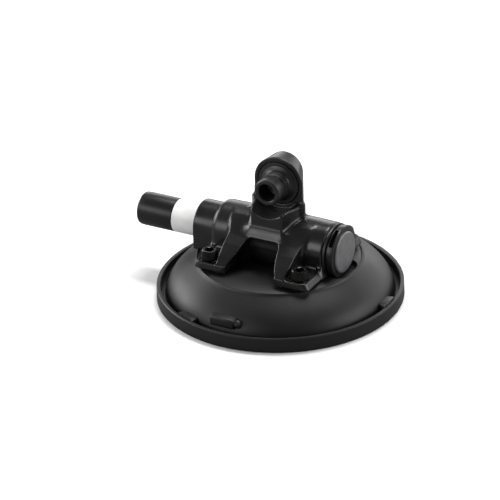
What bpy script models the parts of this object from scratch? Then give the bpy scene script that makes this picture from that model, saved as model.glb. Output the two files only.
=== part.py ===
"""Vacuum cup mount: a rubber cup, a cast bracket with its own hand pump, a release valve and a hollow spigot.

Metres, +Z up. The pump lies along X with its plunger at -X, and the spigot points along -Y. Everything is
modelled around the cup's own axis and hangs from one empty, which centres the whole part on the world origin.
"""

import math

import bmesh
import bpy
from mathutils import Matrix, Vector

# Overall layout
CUP_RADIUS = 0.0762
PLUNGER_END = 0.0950
CUP_AXIS_X = (PLUNGER_END - CUP_RADIUS) / 2
GAP = 0.0003

# Rubber cup
RIM_HEIGHT = 0.0093
RIM_WALL = 0.0028
CROWN_Z = 0.0274
CROWN_EDGE_RADIUS = 0.0510
CROWN_EDGE_Z = 0.0260
CAVITY_ROOF_Z = 0.0217
LIP_INNER_RADIUS = 0.0690
TAB_ANGLES = (-113.5, 2.5, 124.5)
TAB_RADIUS = 0.0072
PULL_LUG_ANGLE = -90.5
PULL_LUG_LENGTH = 0.0196
PULL_LUG_RADIUS = 0.0032
PULL_LUG_Z = 0.0124
PULL_LUG_REACH = 0.0675
RELIEF_RADIUS = 0.0173
RELIEF_LEFT = 0.0372
RELIEF_RIGHT = 0.0461

# Clamping stack under each foot
SCREW_X = 0.0309
SCREW_Y = 0.0322
SCREW_RADIUS = 0.0030
SHANK_RADIUS = 0.00295
SCREW_HEAD_RADIUS = 0.0050
SCREW_HEAD_HEIGHT = 0.0060
SCREW_TIP_Z = 0.0120
SOCKET_FLATS = 0.0050
SOCKET_DEPTH = 0.0032
WASHER_RADIUS = 0.0055
WASHER_THICKNESS = 0.0008
SLEEVE_RADIUS = 0.0046
NUT_FLATS = 0.0100
NUT_HEIGHT = 0.0048
PLATE_RADIUS = 0.0525
PLATE_THICKNESS = 0.0030

# Cast body
PUMP_Z = 0.0388
BELLY_Z = 0.0262
BARREL_RADIUS = 0.0172
BARREL_LEFT = -0.0390
BARREL_RIGHT = 0.0375
COLLAR_RADIUS = 0.0141
COLLAR_LEFT = -0.0530
FOOT_BOTTOM_Z = 0.0282
FOOT_TOP_Z = 0.0328
FOOT_FLOOR_Z = 0.0316
FOOT_OUTER_X = 0.0398
FOOT_FRONT_Y = 0.0396
FOOT_DRAFT = 0.0023
BACK_INSET = 0.0035
ARCH_TOP_Y = 0.0203
ARCH_TOP_Z = 0.0458
ARCH_TOP_HALF = 0.0114
ARCH_FOOT_HALF = 0.0170
LEG_FOOT_HALF = 0.0236
LEG_TOP_HALF = 0.0246
LEG_CREST_Y = 0.0083
LEG_CREST_Z = 0.0525
SADDLE_FRONT_Y = 0.0164
SADDLE_FRONT_HALF = 0.0105
SADDLE_TOP_Z = 0.0640
FRONT_CREST_Z = 0.0520
BACK_CREST_Z = 0.0480
TROUGH_RADIUS = 0.0170
TROUGH_FLOOR_Z = 0.0593

# Upright lug that carries the spigot
LUG_TOP_Z = 0.0926
LUG_FRONT_RADIUS = 0.0169
LUG_BACK_RADIUS = 0.0115
LUG_THICKNESS = 0.0115
LUG_ROOT_Z = 0.0510

# Spigot
SPIGOT_Z = LUG_TOP_Z - LUG_FRONT_RADIUS
SPIGOT_LENGTH = 0.0150
SPIGOT_RADIUS = 0.0084
SPIGOT_BORE_RADIUS = 0.0055
SPIGOT_BORE_DEPTH = 0.0120
SPIGOT_FLANGE_RADIUS = 0.0135
SPIGOT_FLANGE_RECESS = 0.0016
SPIGOT_SHANK_RADIUS = 0.0050
SPIGOT_THREAD_Y = 0.0035
SPIGOT_WASHER_RADIUS = 0.0070
SPIGOT_WASHER_THICKNESS = 0.0012
BOLT_TIP_Y = 0.0045
BOLT_HEAD_RADIUS = 0.0053
BOLT_HEAD_HEIGHT = 0.0033
BOLT_SOCKET_FLATS = 0.0040
BOLT_SOCKET_DEPTH = 0.0020

# Pump cylinder and plunger
BORE_RADIUS = 0.0108
BORE_END = 0.0240
MOUTH_RADIUS = 0.0124
MOUTH_DEPTH = 0.0060
PLUNGER_RADIUS = 0.0105
CAP_THICKNESS = 0.0070
BAND_LEFT = -0.0704
BAND_RIGHT = -0.0503
ROD_RADIUS = 0.0050
GUIDE_RIGHT = -0.0270
PISTON_RIGHT = -0.0190
PISTON_WEB = 0.0015
PISTON_NUT_RIGHT = -0.0150
SPRING_RADIUS = 0.0072
SPRING_WIRE = 0.0013
SPRING_TURNS = 9

# Ports from the cup to the pump and to the release valve
INTAKE_X = 0.0200
INTAKE_RADIUS = 0.0037
RELEASE_X = 0.0306
RELEASE_RADIUS = 0.0023
PORT_TOP_Z = 0.0286
PORT_WALL = 0.0010
FLAP_THICKNESS = 0.0008
FILTER_RADIUS = 0.0055
FILTER_THICKNESS = 0.0025

# Release valve
CHAMBER_LEFT = 0.0270
SEAT_LEFT = 0.0334
SEAT_RIGHT = 0.0372
SEAT_HOLE_RADIUS = 0.0042
SEAT_POCKET_RADIUS = 0.0062
SEAT_POCKET_DEPTH = 0.0018
FLANGE_RADIUS = 0.0169
FLANGE_RIGHT = 0.0394
CAGE_RADIUS = 0.0163
CAGE_BORE_RADIUS = 0.0133
CAGE_HOLE_RADIUS = 0.0062
CAGE_RIGHT = 0.0444
CAGE_FLOOR_RIGHT = 0.0409
WINDOW_LEFT = 0.0411
WINDOW_RIGHT = 0.0435
WINDOW_ANGLES = (13.0, 57.0)
VALVE_FLAT_Z = 0.0242
BUTTON_RADIUS = 0.0130
BUTTON_LEFT = 0.0432
BUTTON_RIGHT = 0.0457
BUTTON_HUB_RADIUS = 0.0040
BUTTON_HUB_LENGTH = 0.0020
STEM_RADIUS = 0.0019
STEM_LEFT = 0.0296
STEM_RIGHT = 0.0444
STEM_HEAD_RADIUS = 0.0050
STEM_HEAD_HEIGHT = 0.0011
VALVE_SEAL_RADIUS = 0.0062
BUTTON_SPRING_RADIUS = 0.0052
BUTTON_SPRING_WIRE = 0.0008
BUTTON_SPRING_TURNS = 4

FINE = 64
ROUND = 32
SMALL = 20

CORNERS = {"front_left": (-1, -1), "front_right": (1, -1), "back_left": (-1, 1), "back_right": (1, 1)}


# --- Meshes -----------------------------------------------------------------------------------


def loft(sections):
    """A closed solid through sections, each a list of points with the same count, capped at both ends."""
    bm = bmesh.new()
    rings = [[bm.verts.new(point) for point in section] for section in sections]
    for ring, following in zip(rings, rings[1:]):
        for i in range(len(ring)):
            bm.faces.new((ring[i - 1], ring[i], following[i], following[i - 1]))
    bm.faces.new(rings[0])
    bm.faces.new(rings[-1])
    bmesh.ops.recalc_face_normals(bm, faces=bm.faces)
    return bm


def placed(along, u, v, w):
    """A point from two outline coordinates and one along the axis named."""
    return {"X": (w, u, v), "Y": (u, w, v), "Z": (u, v, w)}[along]


def prism(outline, low, high, along):
    """An outline extruded: (y, z) points along X, (x, z) points along Y or (x, y) points along Z."""
    return loft([[placed(along, u, v, w) for u, v in outline] for w in (low, high)])


def arc(radius, start, end, steps, centre=(0.0, 0.0)):
    """Points on an arc, from start to end in degrees."""
    angles = [math.radians(start + (end - start) * i / steps) for i in range(steps + 1)]
    return [(centre[0] + radius * math.cos(a), centre[1] + radius * math.sin(a)) for a in angles]


def turned(profile, along="Z", centre=(0.0, 0.0, 0.0), segments=ROUND):
    """A closed loop of (radius, distance along the axis) points, turned about an axis through centre."""
    bm = bmesh.new()
    verts = [bm.verts.new((radius, 0.0, height)) for radius, height in profile]
    edges = []
    for i in range(len(verts)):
        on_axis = max(profile[i][0], profile[i - 1][0]) < 1e-9
        if not on_axis:
            edges.append(bm.edges.new((verts[i - 1], verts[i])))
    bmesh.ops.spin(bm, geom=verts + edges, axis=(0, 0, 1), angle=math.tau, steps=segments)
    bmesh.ops.remove_doubles(bm, verts=bm.verts, dist=1e-6)
    turn = {"X": Matrix.Rotation(math.pi / 2, 4, "Y"), "Y": Matrix.Rotation(-math.pi / 2, 4, "X")}
    bmesh.ops.transform(bm, matrix=Matrix.Translation(centre) @ turn.get(along, Matrix()), verts=bm.verts)
    bmesh.ops.recalc_face_normals(bm, faces=bm.faces)
    return bm


def tube(outer, inner, low, high, along="Z", centre=(0.0, 0.0, 0.0), segments=ROUND):
    """A plain tube, or a disc where inner is 0."""
    profile = [(inner, low), (outer, low), (outer, high), (inner, high)]
    return turned(profile, along, centre, segments)


def hexagon(across_flats):
    corner = across_flats / math.sqrt(3)
    return arc(corner, 0, 300, 5)


def coil(low, high, radius, wire, turns, steps_per_turn, sides):
    """A compression spring along X at the pump's height."""
    sections = []
    for i in range(turns * steps_per_turn + 1):
        angle = math.tau * i / steps_per_turn
        outward = Vector((0.0, math.cos(angle), math.sin(angle)))
        x = low + wire / 2 + (high - low - wire) * i / (turns * steps_per_turn)
        middle = Vector((x, 0.0, PUMP_Z)) + outward * radius
        section = []
        for u, v in arc(wire / 2, 0, 360 - 360 / sides, sides - 1):
            section.append(middle + Vector((u, 0.0, 0.0)) + outward * v)
        sections.append(section)
    return loft(sections)


def joined(*parts):
    """Several meshes in one, for a cutter that removes several places at once."""
    whole = bmesh.new()
    for part in parts:
        mesh = bpy.data.meshes.new("part_of_cutter")
        part.to_mesh(mesh)
        part.free()
        whole.from_mesh(mesh)
        bpy.data.meshes.remove(mesh)
    return whole


# --- Objects ----------------------------------------------------------------------------------


def reach(y, side_y):
    """A distance across the pump on the side named. Behind, what lies outside the barrel stands closer in."""
    inset = BACK_INSET if side_y > 0 and y > BARREL_RADIUS + GAP else 0.0
    return side_y * (y - inset)


def clear_scene():
    for obj in list(bpy.data.objects):
        bpy.data.objects.remove(obj, do_unlink=True)


def make_material(name, colour, roughness, metallic=0.0):
    material = bpy.data.materials.new(name)
    material.use_nodes = True
    shader = material.node_tree.nodes["Principled BSDF"]
    shader.inputs["Base Color"].default_value = (*colour, 1.0)
    shader.inputs["Roughness"].default_value = roughness
    shader.inputs["Metallic"].default_value = metallic
    material.diffuse_color = (*colour, 1.0)
    return material


def make_empty(name, location, parent=None):
    empty = bpy.data.objects.new(name, None)
    empty.empty_display_size = 0.01
    empty.location = location
    empty.parent = parent
    bpy.context.scene.collection.objects.link(empty)
    return empty


def make_object(name, bm, parent):
    """A mesh modelled around the cup's axis, which stays there whatever its parent's place."""
    if parent.parent:
        bmesh.ops.translate(bm, verts=bm.verts, vec=-parent.location)
    mesh = bpy.data.meshes.new(name)
    bm.to_mesh(mesh)
    bm.free()
    obj = bpy.data.objects.new(name, mesh)
    obj.parent = parent
    bpy.context.scene.collection.objects.link(obj)
    return obj


def make_node(name, bm, material, parent):
    obj = make_object(name, bm, parent)
    obj.data.shade_smooth()
    obj.data.set_sharp_from_angle(angle=math.radians(35))
    obj.data.materials.append(material)
    return obj


def combine(obj, operation, name, bm):
    """Adds a Boolean to obj, with a hidden helper as its operand."""
    helper = make_object(name, bm, obj.parent)
    helper.hide_render = True
    helper.display_type = "WIRE"
    modifier = obj.modifiers.new(name, "BOOLEAN")
    modifier.operation = operation
    modifier.solver = "EXACT"
    modifier.object = helper


# --- Rubber cup and the stack that clamps it --------------------------------------------------


def turn_about_z(bm, degrees):
    bmesh.ops.transform(bm, matrix=Matrix.Rotation(math.radians(degrees), 4, "Z"), verts=bm.verts)
    return bm


def rim_tab(degrees):
    """A half-round tab that fills the groove inside the rim at one place."""
    outline = arc(TAB_RADIUS, 90, 270, 10, centre=(CUP_RADIUS - RIM_WALL + 0.0010, 0.0))
    return turn_about_z(prism(outline, 0.0025, RIM_HEIGHT - 0.0002, "Z"), degrees)


def pull_lug():
    """A short round-ended bar that lies along the foot of the dome."""
    straight = PULL_LUG_LENGTH / 2 - PULL_LUG_RADIUS
    profile = arc(PULL_LUG_RADIUS, -90, 0, 4, centre=(0.0, -straight))
    profile += arc(PULL_LUG_RADIUS, 0, 90, 4, centre=(0.0, straight))
    bar = turned(profile, "Y", (PULL_LUG_REACH, 0.0, PULL_LUG_Z), SMALL)
    return turn_about_z(bar, PULL_LUG_ANGLE)


def body_bed():
    """The shallow bed in the crown that the casting's belly lies in, narrower under the collar."""
    wide = BARREL_RADIUS + 0.0004
    narrow = COLLAR_RADIUS + 0.0004
    step = BARREL_LEFT - 0.0004
    outline = [
        (-CROWN_EDGE_RADIUS - 0.01, -narrow),
        (step, -narrow),
        (step, -wide),
        (BARREL_RIGHT + 0.0004, -wide),
        (BARREL_RIGHT + 0.0004, wide),
        (step, wide),
        (step, narrow),
        (-CROWN_EDGE_RADIUS - 0.01, narrow),
    ]
    return prism(outline, BELLY_Z - GAP, CROWN_Z + 0.002, "Z")


def valve_relief():
    """The flat-floored scoop in the crown that the release valve dips into."""
    floor_angle = math.degrees(math.asin((PUMP_Z - VALVE_FLAT_Z + GAP) / RELIEF_RADIUS))
    outline = arc(RELIEF_RADIUS, -floor_angle, 180 + floor_angle, 30, centre=(0.0, PUMP_Z))
    return prism(outline, RELIEF_LEFT, RELIEF_RIGHT, "X")


def columns(screw_hole, intake_hole, release_hole, low, high):
    """Upright cylinders that clear the four screws and the two ports."""
    places = [(sx * SCREW_X, reach(SCREW_Y, sy), screw_hole) for sx, sy in CORNERS.values()]
    places += [(INTAKE_X, 0.0, intake_hole), (RELEASE_X, 0.0, release_hole)]
    return joined(*[tube(r, 0.0, low, high, centre=(x, y, 0.0), segments=SMALL) for x, y, r in places])


def make_cup(parent, rubber):
    rim_inner = CUP_RADIUS - RIM_WALL
    profile = [
        (0.0, CROWN_Z),
        (0.0410, CROWN_Z),
        (0.0465, CROWN_Z - 0.0005),
        (CROWN_EDGE_RADIUS - 0.0006, CROWN_EDGE_Z + 0.0002),
        (CROWN_EDGE_RADIUS + 0.0006, CROWN_EDGE_Z - 0.0003),
        (0.0556, 0.0230),
        (0.0592, 0.0205),
        (0.0627, 0.0178),
        (0.0657, 0.0147),
        (0.0681, 0.0111),
        (0.0697, 0.0070),
        (0.0702, 0.0042),
        (0.0708, 0.0032),
        (rim_inner - 0.0008, 0.0030),
        (rim_inner, 0.0038),
        (rim_inner, RIM_HEIGHT - 0.0003),
        (rim_inner + 0.0004, RIM_HEIGHT),
        (CUP_RADIUS - 0.0006, RIM_HEIGHT),
        (CUP_RADIUS - 0.0002, RIM_HEIGHT - 0.0005),
        (CUP_RADIUS, 0.0008),
        (CUP_RADIUS - 0.0006, 0.0),
        (LIP_INNER_RADIUS, 0.0),
        (0.0676, 0.0010),
        (0.0655, 0.0070),
        (0.0623, 0.0140),
        (0.0586, 0.0185),
        (0.0536, CAVITY_ROOF_Z),
        (0.0, CAVITY_ROOF_Z),
    ]
    cup = make_node("vacuum_cup", turned(profile, segments=FINE), rubber, parent)
    for number, degrees in enumerate(TAB_ANGLES, 1):
        combine(cup, "UNION", f"rim_tab_shape_{number}", rim_tab(degrees))
    combine(cup, "UNION", "pull_lug_shape", pull_lug())
    combine(cup, "DIFFERENCE", "body_bed", body_bed())
    combine(cup, "DIFFERENCE", "valve_relief", valve_relief())
    intake = INTAKE_RADIUS + GAP
    release = RELEASE_RADIUS + GAP
    holes = columns(SLEEVE_RADIUS + GAP, intake, release, CAVITY_ROOF_Z - 0.005, CROWN_Z + 0.005)
    combine(cup, "DIFFERENCE", "cup_holes", holes)


def make_plate(parent, steel):
    top = CAVITY_ROOF_Z - GAP
    disc = tube(PLATE_RADIUS, 0.0, top - PLATE_THICKNESS, top, segments=FINE)
    plate = make_node("backing_plate", disc, steel, parent)
    screw = SCREW_RADIUS + GAP
    intake = INTAKE_RADIUS + GAP
    release = RELEASE_RADIUS + GAP
    holes = columns(screw, intake, release, top - 2 * PLATE_THICKNESS, top + GAP)
    combine(plate, "DIFFERENCE", "plate_holes", holes)


def make_screw(name, x, y, parent, steel):
    """A socket head cap screw, from its head on the washer down to its tip below the nut."""
    low = FOOT_FLOOR_Z + WASHER_THICKNESS + 2 * GAP
    top = low + SCREW_HEAD_HEIGHT
    profile = [
        (0.0, top),
        (SCREW_HEAD_RADIUS - 0.0005, top),
        (SCREW_HEAD_RADIUS, top - 0.0005),
        (SCREW_HEAD_RADIUS, low),
        (SHANK_RADIUS, low),
        (SHANK_RADIUS, SCREW_TIP_Z + 0.0008),
        (SHANK_RADIUS - 0.0006, SCREW_TIP_Z),
        (0.0, SCREW_TIP_Z),
    ]
    screw = make_node(name, turned(profile, centre=(x, y, 0.0), segments=24), steel, parent)
    socket = prism([(x + u, y + v) for u, v in hexagon(SOCKET_FLATS)], top - SOCKET_DEPTH, top + 0.001, "Z")
    combine(screw, "DIFFERENCE", name + "_socket", socket)


def make_clamp_stack(corner, side_x, side_y, parent, steel):
    x = side_x * SCREW_X
    y = reach(SCREW_Y, side_y)
    centre = (x, y, 0.0)
    hole = SCREW_RADIUS + GAP
    make_screw("screw_" + corner, x, y, parent, steel)
    floor = FOOT_FLOOR_Z + GAP
    washer = tube(WASHER_RADIUS, hole, floor, floor + WASHER_THICKNESS, centre=centre, segments=24)
    make_node("washer_" + corner, washer, steel, parent)
    sleeve = tube(SLEEVE_RADIUS, hole, CAVITY_ROOF_Z, FOOT_BOTTOM_Z - GAP, centre=centre, segments=24)
    make_node("spacer_" + corner, sleeve, steel, parent)
    nut_top = CAVITY_ROOF_Z - PLATE_THICKNESS - 2 * GAP
    outline = [(x + u, y + v) for u, v in hexagon(NUT_FLATS)]
    nut = make_node("nut_" + corner, prism(outline, nut_top - NUT_HEIGHT, nut_top, "Z"), steel, parent)
    drill = tube(hole, 0.0, 0.0, CAVITY_ROOF_Z, centre=centre, segments=24)
    combine(nut, "DIFFERENCE", f"nut_{corner}_hole", drill)


def make_ports(parent, brass, rubber, felt):
    """The tubes from the cup's cavity to the pump and to the release valve, and what sits on them."""
    low = CAVITY_ROOF_Z - PLATE_THICKNESS - 2 * GAP
    sizes = (("intake_port", INTAKE_X, INTAKE_RADIUS), ("release_port", RELEASE_X, RELEASE_RADIUS))
    for name, x, radius in sizes:
        port = tube(radius, radius - PORT_WALL, low, PORT_TOP_Z, centre=(x, 0.0, 0.0), segments=SMALL)
        make_node(name, port, brass, parent)
    flap_low = PORT_TOP_Z + GAP
    intake = (INTAKE_X, 0.0, 0.0)
    flap = tube(INTAKE_RADIUS, 0.0, flap_low, flap_low + FLAP_THICKNESS, centre=intake, segments=SMALL)
    make_node("intake_check_flap", flap, rubber, parent)
    filter_top = low - GAP
    disc = tube(FILTER_RADIUS, 0.0, filter_top - FILTER_THICKNESS, filter_top, centre=intake, segments=24)
    make_node("intake_filter", disc, felt, parent)


# --- Cast body --------------------------------------------------------------------------------


def barrel(radius, low, high):
    """A round-topped block with straight sides, which runs along X from low to high."""
    outline = arc(radius, 0, 180, 24, centre=(0.0, PUMP_Z)) + [(-radius, BELLY_Z), (radius, BELLY_Z)]
    return prism(outline, low, high, "X")


def foot(side_x, side_y):
    """A pad with one cut corner, whose outer faces lean in towards its top."""
    inner = ARCH_FOOT_HALF
    bottom = [
        (inner, FOOT_FRONT_Y),
        (FOOT_OUTER_X - 0.0058, FOOT_FRONT_Y),
        (FOOT_OUTER_X, FOOT_FRONT_Y - 0.0036),
        (FOOT_OUTER_X, 0.0160),
        (inner, 0.0160),
    ]
    top = [
        (inner, FOOT_FRONT_Y - 0.0004),
        (FOOT_OUTER_X - 0.0062, FOOT_FRONT_Y - 0.0004),
        (FOOT_OUTER_X - FOOT_DRAFT, FOOT_FRONT_Y - 0.0036),
        (FOOT_OUTER_X - FOOT_DRAFT, 0.0160),
        (inner, 0.0160),
    ]
    sections = []
    for outline, z in ((bottom, FOOT_BOTTOM_Z), (top, FOOT_TOP_Z)):
        sections.append([(side_x * x, reach(y, side_y), z) for x, y in outline])
    return loft(sections)


def foot_pocket(side_x, side_y):
    """The shallow floor of a foot, inside its thin raised rim."""
    inner = LEG_FOOT_HALF + 0.0012
    outer = FOOT_OUTER_X - FOOT_DRAFT - 0.0009
    far = FOOT_FRONT_Y - 0.0017
    near = BARREL_RADIUS + 0.0002
    outline = [(inner, far), (outer - 0.0034, far), (outer, far - 0.0027), (outer, near), (inner, near)]
    points = [(side_x * x, reach(y, side_y)) for x, y in outline]
    return prism(points, FOOT_FLOOR_Z, FOOT_TOP_Z + 0.002, "Z")


def foot_hole(side_x, side_y):
    centre = (side_x * SCREW_X, reach(SCREW_Y, side_y), 0.0)
    return tube(SCREW_RADIUS + GAP, 0.0, FOOT_BOTTOM_Z - 0.002, FOOT_TOP_Z, centre=centre, segments=24)


def crest(side_y):
    """The height of the strip over the opening between two legs, lower behind than in front."""
    return FRONT_CREST_Z if side_y < 0 else BACK_CREST_Z


def leg(side_x, side_y):
    """A web that arches out and down to one foot, splayed so the arch is wider at its feet."""
    outline = [
        (FOOT_FRONT_Y - 0.0002, FOOT_BOTTOM_Z + 0.0002),
        (FOOT_FRONT_Y - 0.0002, FOOT_TOP_Z),
        (0.0366, 0.0356),
        (0.0339, 0.0378),
        (0.0270, 0.0425),
        (ARCH_TOP_Y, ARCH_TOP_Z),
        (LEG_CREST_Y, LEG_CREST_Z),
        (LEG_CREST_Y, FOOT_BOTTOM_Z + 0.0002),
    ]
    sections = []
    for foot_half, top_half in ((ARCH_FOOT_HALF, ARCH_TOP_HALF), (LEG_FOOT_HALF, LEG_TOP_HALF)):
        slope = (top_half - foot_half) / (ARCH_TOP_Z - FOOT_TOP_Z)
        points = [(foot_half + slope * (z - FOOT_TOP_Z), y, z) for y, z in outline]
        sections.append([(side_x * x, reach(y, side_y), z) for x, y, z in points])
    return loft(sections)


def arch_band(side_y):
    """The strip across the top of the opening between two legs."""
    top = crest(side_y)
    outline = [(ARCH_TOP_Y, ARCH_TOP_Z), (SADDLE_FRONT_Y, top), (0.0080, top), (0.0080, ARCH_TOP_Z)]
    half = ARCH_TOP_HALF + 0.0015
    return prism([(reach(y, side_y), z) for y, z in outline], -half, half, "X")


def arch_hollow(side_y):
    """What is taken off the body's straight side between two legs, so that it stays round there."""
    lowest = math.degrees(math.acos((PUMP_Z - BELLY_Z) / BARREL_RADIUS))
    outline = arc(BARREL_RADIUS, 180, 270 - lowest, 8, centre=(0.0, PUMP_Z))
    outline += [(outline[-1][0], BELLY_Z - 0.001), (-BARREL_RADIUS - 0.001, BELLY_Z - 0.001)]
    outline += [(-BARREL_RADIUS - 0.001, PUMP_Z)]
    return prism([(-side_y * y, z) for y, z in outline], -ARCH_TOP_HALF, ARCH_TOP_HALF, "X")


def saddle():
    """The block under the spigot, narrower at its outer face than at the lug."""
    low = ARCH_TOP_Z - 0.0018
    sections = []
    for half, y in ((LUG_FRONT_RADIUS, 0.0005), (SADDLE_FRONT_HALF, -SADDLE_FRONT_Y)):
        corners = ((-half, low), (half, low), (half, SADDLE_TOP_Z), (-half, SADDLE_TOP_Z))
        sections.append([(x, y, z) for x, z in corners])
    return loft(sections)


def lug():
    """The upright, round-topped block, narrower behind than in front but level along its top."""
    sections = []
    for radius, y in ((LUG_FRONT_RADIUS, 0.0), (LUG_BACK_RADIUS, LUG_THICKNESS)):
        outline = arc(radius, 0, 180, 24, centre=(0.0, LUG_TOP_Z - radius))
        outline += [(-radius, LUG_ROOT_Z), (radius, LUG_ROOT_Z)]
        sections.append([(x, y, z) for x, z in outline])
    return loft(sections)


def spigot_seat():
    """The recess in the lug's face, and the hole through it."""
    axis = (0.0, 0.0, SPIGOT_Z)
    recess = tube(SPIGOT_FLANGE_RADIUS + GAP, 0.0, -0.001, SPIGOT_FLANGE_RECESS, "Y", axis)
    hole = tube(SPIGOT_SHANK_RADIUS + GAP, 0.0, 0.0005, LUG_THICKNESS + 0.001, "Y", axis)
    return recess, hole


def make_body(parent, casting):
    corners = CORNERS.values()
    body = make_node("bracket_casting", barrel(BARREL_RADIUS, BARREL_LEFT, BARREL_RIGHT), casting, parent)
    combine(body, "UNION", "collar_shape", barrel(COLLAR_RADIUS, COLLAR_LEFT, BARREL_LEFT + 0.002))
    combine(body, "UNION", "foot_shapes", joined(*[foot(*corner) for corner in corners]))
    combine(body, "UNION", "leg_shapes", joined(*[leg(*corner) for corner in corners]))
    combine(body, "UNION", "front_band_shape", arch_band(-1))
    combine(body, "UNION", "back_band_shape", arch_band(1))
    combine(body, "UNION", "saddle_shape", saddle())
    combine(body, "UNION", "lug_shape", lug())
    trough_axis = (0.0, 0.0, TROUGH_FLOOR_Z + TROUGH_RADIUS)
    trough = tube(TROUGH_RADIUS, 0.0, -SADDLE_FRONT_Y - 0.002, -0.0002, "Y", trough_axis, segments=48)
    combine(body, "DIFFERENCE", "trough", trough)
    combine(body, "DIFFERENCE", "foot_pockets", joined(*[foot_pocket(*corner) for corner in corners]))
    combine(body, "DIFFERENCE", "foot_holes", joined(*[foot_hole(*corner) for corner in corners]))
    combine(body, "DIFFERENCE", "front_hollow", arch_hollow(-1))
    combine(body, "DIFFERENCE", "back_hollow", arch_hollow(1))
    recess, hole = spigot_seat()
    combine(body, "DIFFERENCE", "spigot_recess", recess)
    combine(body, "DIFFERENCE", "spigot_hole", hole)
    axis = (0.0, 0.0, PUMP_Z)
    bore = [
        (0.0, COLLAR_LEFT - 0.001),
        (MOUTH_RADIUS, COLLAR_LEFT - 0.001),
        (MOUTH_RADIUS, COLLAR_LEFT + MOUTH_DEPTH),
        (BORE_RADIUS, COLLAR_LEFT + MOUTH_DEPTH),
        (BORE_RADIUS, BORE_END),
        (0.0, BORE_END),
    ]
    combine(body, "DIFFERENCE", "pump_bore", turned(bore, "X", axis))
    chamber = tube(BORE_RADIUS, 0.0, CHAMBER_LEFT, BARREL_RIGHT + 0.001, "X", axis)
    combine(body, "DIFFERENCE", "valve_chamber", chamber)
    ports = []
    low = BELLY_Z - 0.001
    high = PORT_TOP_Z + 0.001
    for x, radius in ((INTAKE_X, INTAKE_RADIUS), (RELEASE_X, RELEASE_RADIUS)):
        ports.append(tube(radius + GAP, 0.0, low, high, centre=(x, 0.0, 0.0), segments=SMALL))
    combine(body, "DIFFERENCE", "port_holes", joined(*ports))


# --- Spigot -----------------------------------------------------------------------------------


def make_spigot(parent, alloy, steel):
    axis = (0.0, 0.0, SPIGOT_Z)
    front = -SPIGOT_LENGTH
    bolt_hole = SCREW_RADIUS + GAP
    profile = [
        (SPIGOT_BORE_RADIUS - 0.0004, front + SPIGOT_BORE_DEPTH),
        (SPIGOT_BORE_RADIUS, front + SPIGOT_BORE_DEPTH - 0.0006),
        (SPIGOT_BORE_RADIUS, front + 0.0004),
        (SPIGOT_BORE_RADIUS + 0.0004, front),
        (SPIGOT_RADIUS - 0.0006, front),
        (SPIGOT_RADIUS, front + 0.0006),
        (SPIGOT_RADIUS, -0.0066),
        (SPIGOT_RADIUS - 0.0008, -0.0062),
        (SPIGOT_RADIUS - 0.0008, -0.0054),
        (SPIGOT_RADIUS + 0.0004, -0.0050),
        (SPIGOT_RADIUS + 0.0004, -0.0022),
        (SPIGOT_RADIUS + 0.0018, -0.0006),
        (SPIGOT_RADIUS + 0.0022, 0.0001),
        (SPIGOT_FLANGE_RADIUS, 0.0001),
        (SPIGOT_FLANGE_RADIUS, SPIGOT_FLANGE_RECESS - GAP),
        (SPIGOT_SHANK_RADIUS, SPIGOT_FLANGE_RECESS - GAP),
        (SPIGOT_SHANK_RADIUS, LUG_THICKNESS - GAP),
        (bolt_hole, LUG_THICKNESS - GAP),
        (bolt_hole, SPIGOT_THREAD_Y),
        (0.0, SPIGOT_THREAD_Y),
        (0.0, front + SPIGOT_BORE_DEPTH),
    ]
    make_node("spigot", turned(profile, "Y", axis), alloy, parent)
    washer_front = LUG_THICKNESS + GAP
    washer_back = washer_front + SPIGOT_WASHER_THICKNESS
    washer = tube(SPIGOT_WASHER_RADIUS, bolt_hole, washer_front, washer_back, "Y", axis, segments=24)
    make_node("spigot_washer", washer, steel, parent)
    head = washer_back + GAP
    head_end = head + BOLT_HEAD_HEIGHT
    bolt_profile = [
        (0.0, BOLT_TIP_Y),
        (SHANK_RADIUS, BOLT_TIP_Y),
        (SHANK_RADIUS, head),
        (BOLT_HEAD_RADIUS, head),
        (BOLT_HEAD_RADIUS, head_end - 0.0013),
        (BOLT_HEAD_RADIUS - 0.0013, head_end),
        (0.0, head_end),
    ]
    bolt = make_node("spigot_bolt", turned(bolt_profile, "Y", axis, segments=24), steel, parent)
    outline = [(u, SPIGOT_Z + v) for u, v in hexagon(BOLT_SOCKET_FLATS)]
    socket = prism(outline, head_end - BOLT_SOCKET_DEPTH, head_end + 0.0017, "Y")
    combine(bolt, "DIFFERENCE", "spigot_bolt_socket", socket)


# --- Pump -------------------------------------------------------------------------------------


def make_mouth(parent, steel, rubber):
    """The wiper and the ring that holds it and the plunger in the mouth of the collar."""
    axis = (0.0, 0.0, PUMP_Z)
    outer = MOUTH_RADIUS - GAP
    step = COLLAR_LEFT + MOUTH_DEPTH
    wiper = tube(outer, PLUNGER_RADIUS + GAP, step - 0.0027, step - GAP, "X", axis)
    make_node("wiper_ring", wiper, rubber, parent)
    ring = tube(outer, PLUNGER_RADIUS + GAP, COLLAR_LEFT + 0.0001, step - 0.0030, "X", axis)
    make_node("gland_ring", ring, steel, parent)


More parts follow.
